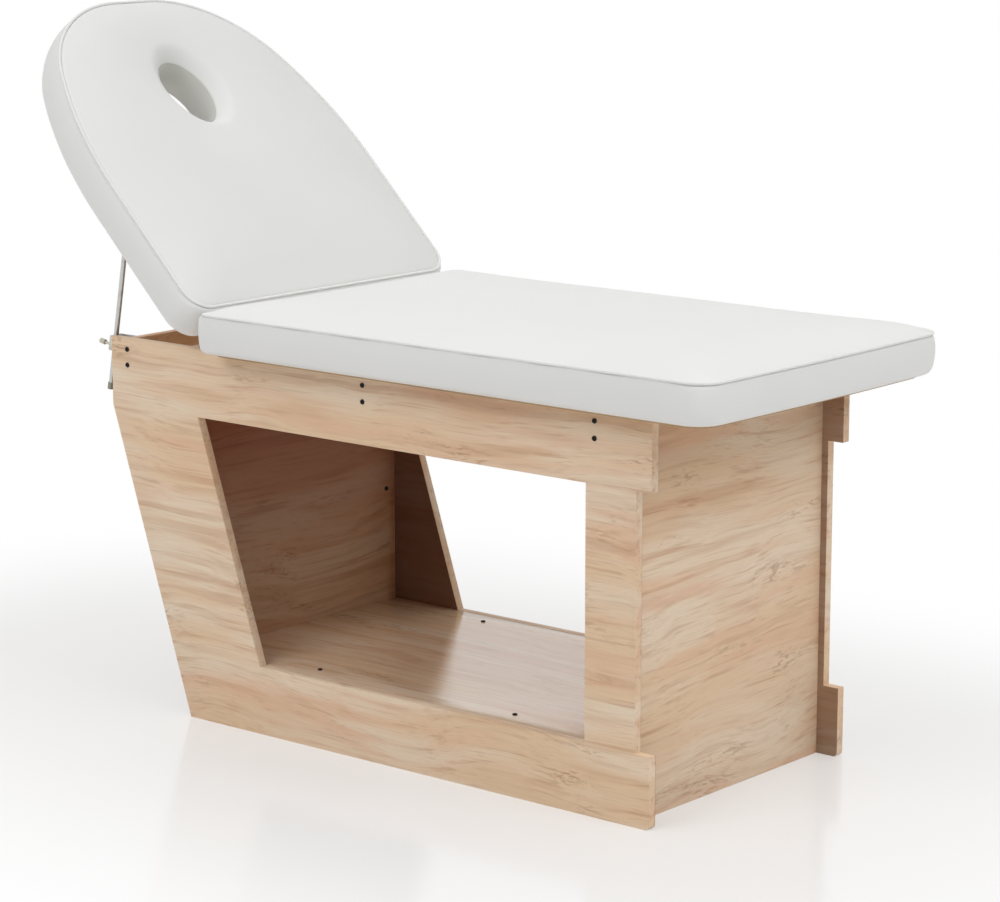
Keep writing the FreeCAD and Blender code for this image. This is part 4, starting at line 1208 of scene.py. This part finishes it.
@dataclass
class Studio:
    """Camera, pale floor and soft light."""

    camera_from_panel: float = 4.323690
    camera_side: float = -4.343940
    camera_height: float = 1.657012
    yaw: float = math.radians(129.879)
    pitch: float = math.radians(-11.352)
    focal_pixels: float = 3245.272
    photo_width: float = 1000.0
    sensor: float = 36.0
    sky: float = 0.9
    footprint: Vector = field(default_factory=lambda: Vector((0.65, 0.2, 0.0)))
    floor_size: float = 30.0
    floor_least: float = 0.35
    fade: tuple[float, float] = (0.35, 1.2)
    target: Place = (0.1, 0.0, 0.5)
    lamp_size: float = 3.0

    def camera(self) -> None:
        """Camera where the photograph was taken from."""
        data = bpy.data.cameras.new("camera")
        data.sensor_width = self.sensor
        data.lens = self.focal_pixels * self.sensor / self.photo_width
        eye = linked("camera", data)
        eye.location = (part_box("side_panel_near")[0].x + self.camera_from_panel, self.camera_side, self.camera_height)
        flat = math.cos(self.pitch)
        aim(eye, Vector((flat * math.cos(self.yaw), flat * math.sin(self.yaw), math.sin(self.pitch))))
        bpy.context.scene.camera = eye

    def lamp(self, name: str, place: Place, share: float) -> None:
        """Soft square lamp that isn't mirrored in glossy surfaces.

        Args:
            name: the lamp's name.
            place: where it hangs.
            share: how much of a white surface's light it gives at the target.
        """
        data = bpy.data.lights.new(name, "AREA")
        data.shape, data.size = "SQUARE", self.lamp_size
        way = Vector(self.target) - Vector(place)
        data.energy = share * math.pi ** 2 * way.length_squared
        lamp = linked(name, data)
        lamp.location = place
        lamp.visible_glossy = False
        aim(lamp, way)

    def world(self) -> None:
        """White for the camera and for reflections; as light, a soft sky that is dark near the horizon."""
        world = bpy.data.worlds.new("studio")
        bpy.context.scene.world = world
        world.use_nodes = True
        nodes = Nodes(world.node_tree)
        up = nodes.node("SeparateXYZ", {0: nodes.node("TexCoord", {}).outputs["Generated"]}).outputs["Z"]
        sky = nodes.times(nodes.ramp(up, 0.35, 0.65), self.sky)
        light = nodes.node("Background", {"Color": (1.0, 1.0, 1.0, 1.0), "Strength": sky})
        white = nodes.node("Background", {"Color": (1.0, 1.0, 1.0, 1.0), "Strength": 1.0})
        mix = nodes.node("MixShader", {0: nodes.seen(), 1: light.outputs[0], 2: white.outputs[0]})
        nodes.node("OutputWorld", {"Surface": mix.outputs[0]})

    def floor(self) -> None:
        """Glossy white floor that keeps the bed's shadow and fades to white far away."""
        work = bmesh.new()
        bmesh.ops.create_grid(work, x_segments=1, y_segments=1, size=self.floor_size)
        floor = linked("floor", meshed("floor", work))
        graph = Graph("floor_white")
        shader = graph.node("BsdfPrincipled", {
            "Base Color": (0.94, 0.94, 0.94, 1.0), "Roughness": 0.14, "IOR": 1.45,
        })
        white = graph.node("Emission", {"Color": (1.0, 1.0, 1.0, 1.0), "Strength": 1.0})
        beside = graph.each("SUBTRACT", graph.each("ABSOLUTE", graph.place), self.footprint)
        outside = graph.each("MAXIMUM", beside)
        distance = graph.node("VectorMath", {0: outside}, operation="LENGTH").outputs["Value"]
        faded = graph.times(graph.ramp(distance, *self.fade), 1.0 - self.floor_least)
        lift = graph.calc("ADD", faded, self.floor_least)
        share = graph.times(graph.seen(), lift)
        mix = graph.node("MixShader", {0: share, 1: shader.outputs[0], 2: white.outputs[0]})
        graph.tree.links.new(mix.outputs[0], graph.output.inputs["Surface"])
        floor.data.materials.append(graph.material)

    def build(self) -> None:
        """Set the stage."""
        self.camera()
        self.world()
        self.floor()
        self.lamp("front", (-0.8, -4.6, 4.4), 0.206)
        self.lamp("foot", (5.4, 0.0, 4.6), 0.212)
        bpy.context.scene.view_settings.view_transform = "Standard"


def fittings(paint: Finishes) -> list[str]:
    """Finish the metal pieces and the boards under the cushions.

    Args:
        paint: the shared finishes.

    Returns:
        The names of the pieces.
    """
    zinc, rod, nickel, grey = paint.zinc.build(), paint.rod.build(), paint.nickel.build(), paint.grey.build()
    finishes = {"leg_board": paint.ply_flat.build(), "backrest_board": paint.ply_raised.build()}
    for node in (
        "hinge_leaves_leg", "hinge_leaves_back", "hinge_pins", "board_brackets", "strut_pins", "hinge_screws_leg",
        "hinge_screws_back", "board_bracket_screws", "clamp_bracket_screws",
    ):
        finishes[node] = zinc
    pairs = {
        "clamp_bracket": zinc, "strut_cup": zinc, "clamp_nut": zinc, "prop_rod": rod, "swivel_clamp": nickel,
        "thumb_screw": nickel, "rod_cap": grey,
    }
    for pair, finish in pairs.items():
        finishes[pair + "_near"] = finishes[pair + "_far"] = finish
    return [dress(node, finish).name for node, finish in finishes.items()]


def report(name: str, pieces: Iterable[str]) -> None:
    """Log what a sub-assembly made."""
    LOG.info("%s: %s", name, ", ".join(pieces))


def main() -> None:
    """Build the bed and its stage."""
    logging.basicConfig(level=logging.INFO, format="%(message)s")
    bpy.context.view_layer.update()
    Studio().build()
    paint = Finishes()
    report("cabinet", Cabinet().build(paint))
    black = paint.black.build()
    groups = [
        Screws("rail_screws", Vector((0, -1, 0))),
        Screws("shelf_screws", Vector((0, 0, 1))),
        Screws("back_panel_screws", Vector((1, 0, 0))),
        Screws("foot_panel_screws", Vector((-1, 0, 0))),
    ]
    report("screws", [group.build(black, "black_screw") for group in groups])
    report("fittings", fittings(paint))
    low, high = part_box("hinge_pins")
    axis = (low + high) / 2
    leather, welt = paint.leather.build(), paint.welt.build()
    leg = LegCushion(
        "leg", "root", joint_x=axis.x + 0.0042, way=1, bottom=0.6942, piping=0.766, length=1.118, roof=0.7024,
        crown=0.0275, crown_power=3.0, bottom_round=0.014,
    )
    back = BackCushion(
        "backrest", "backrest", joint_x=axis.x - 0.0042, way=-1, bottom=0.6905, piping=0.7685, length=0.7214,
        roof=0.7125, crown_depth=0.088, bulge=0.0065, axis=axis, steps=(14, 10, 22, 12, 34, 4),
    )
    for cushion in (leg, back):
        report(cushion.name, [piece.name for piece in cushion.build(leather, welt)])
    report("face hole", [back.lining(paint.lining.build()).name])


if __name__ == "__main__":
    main()
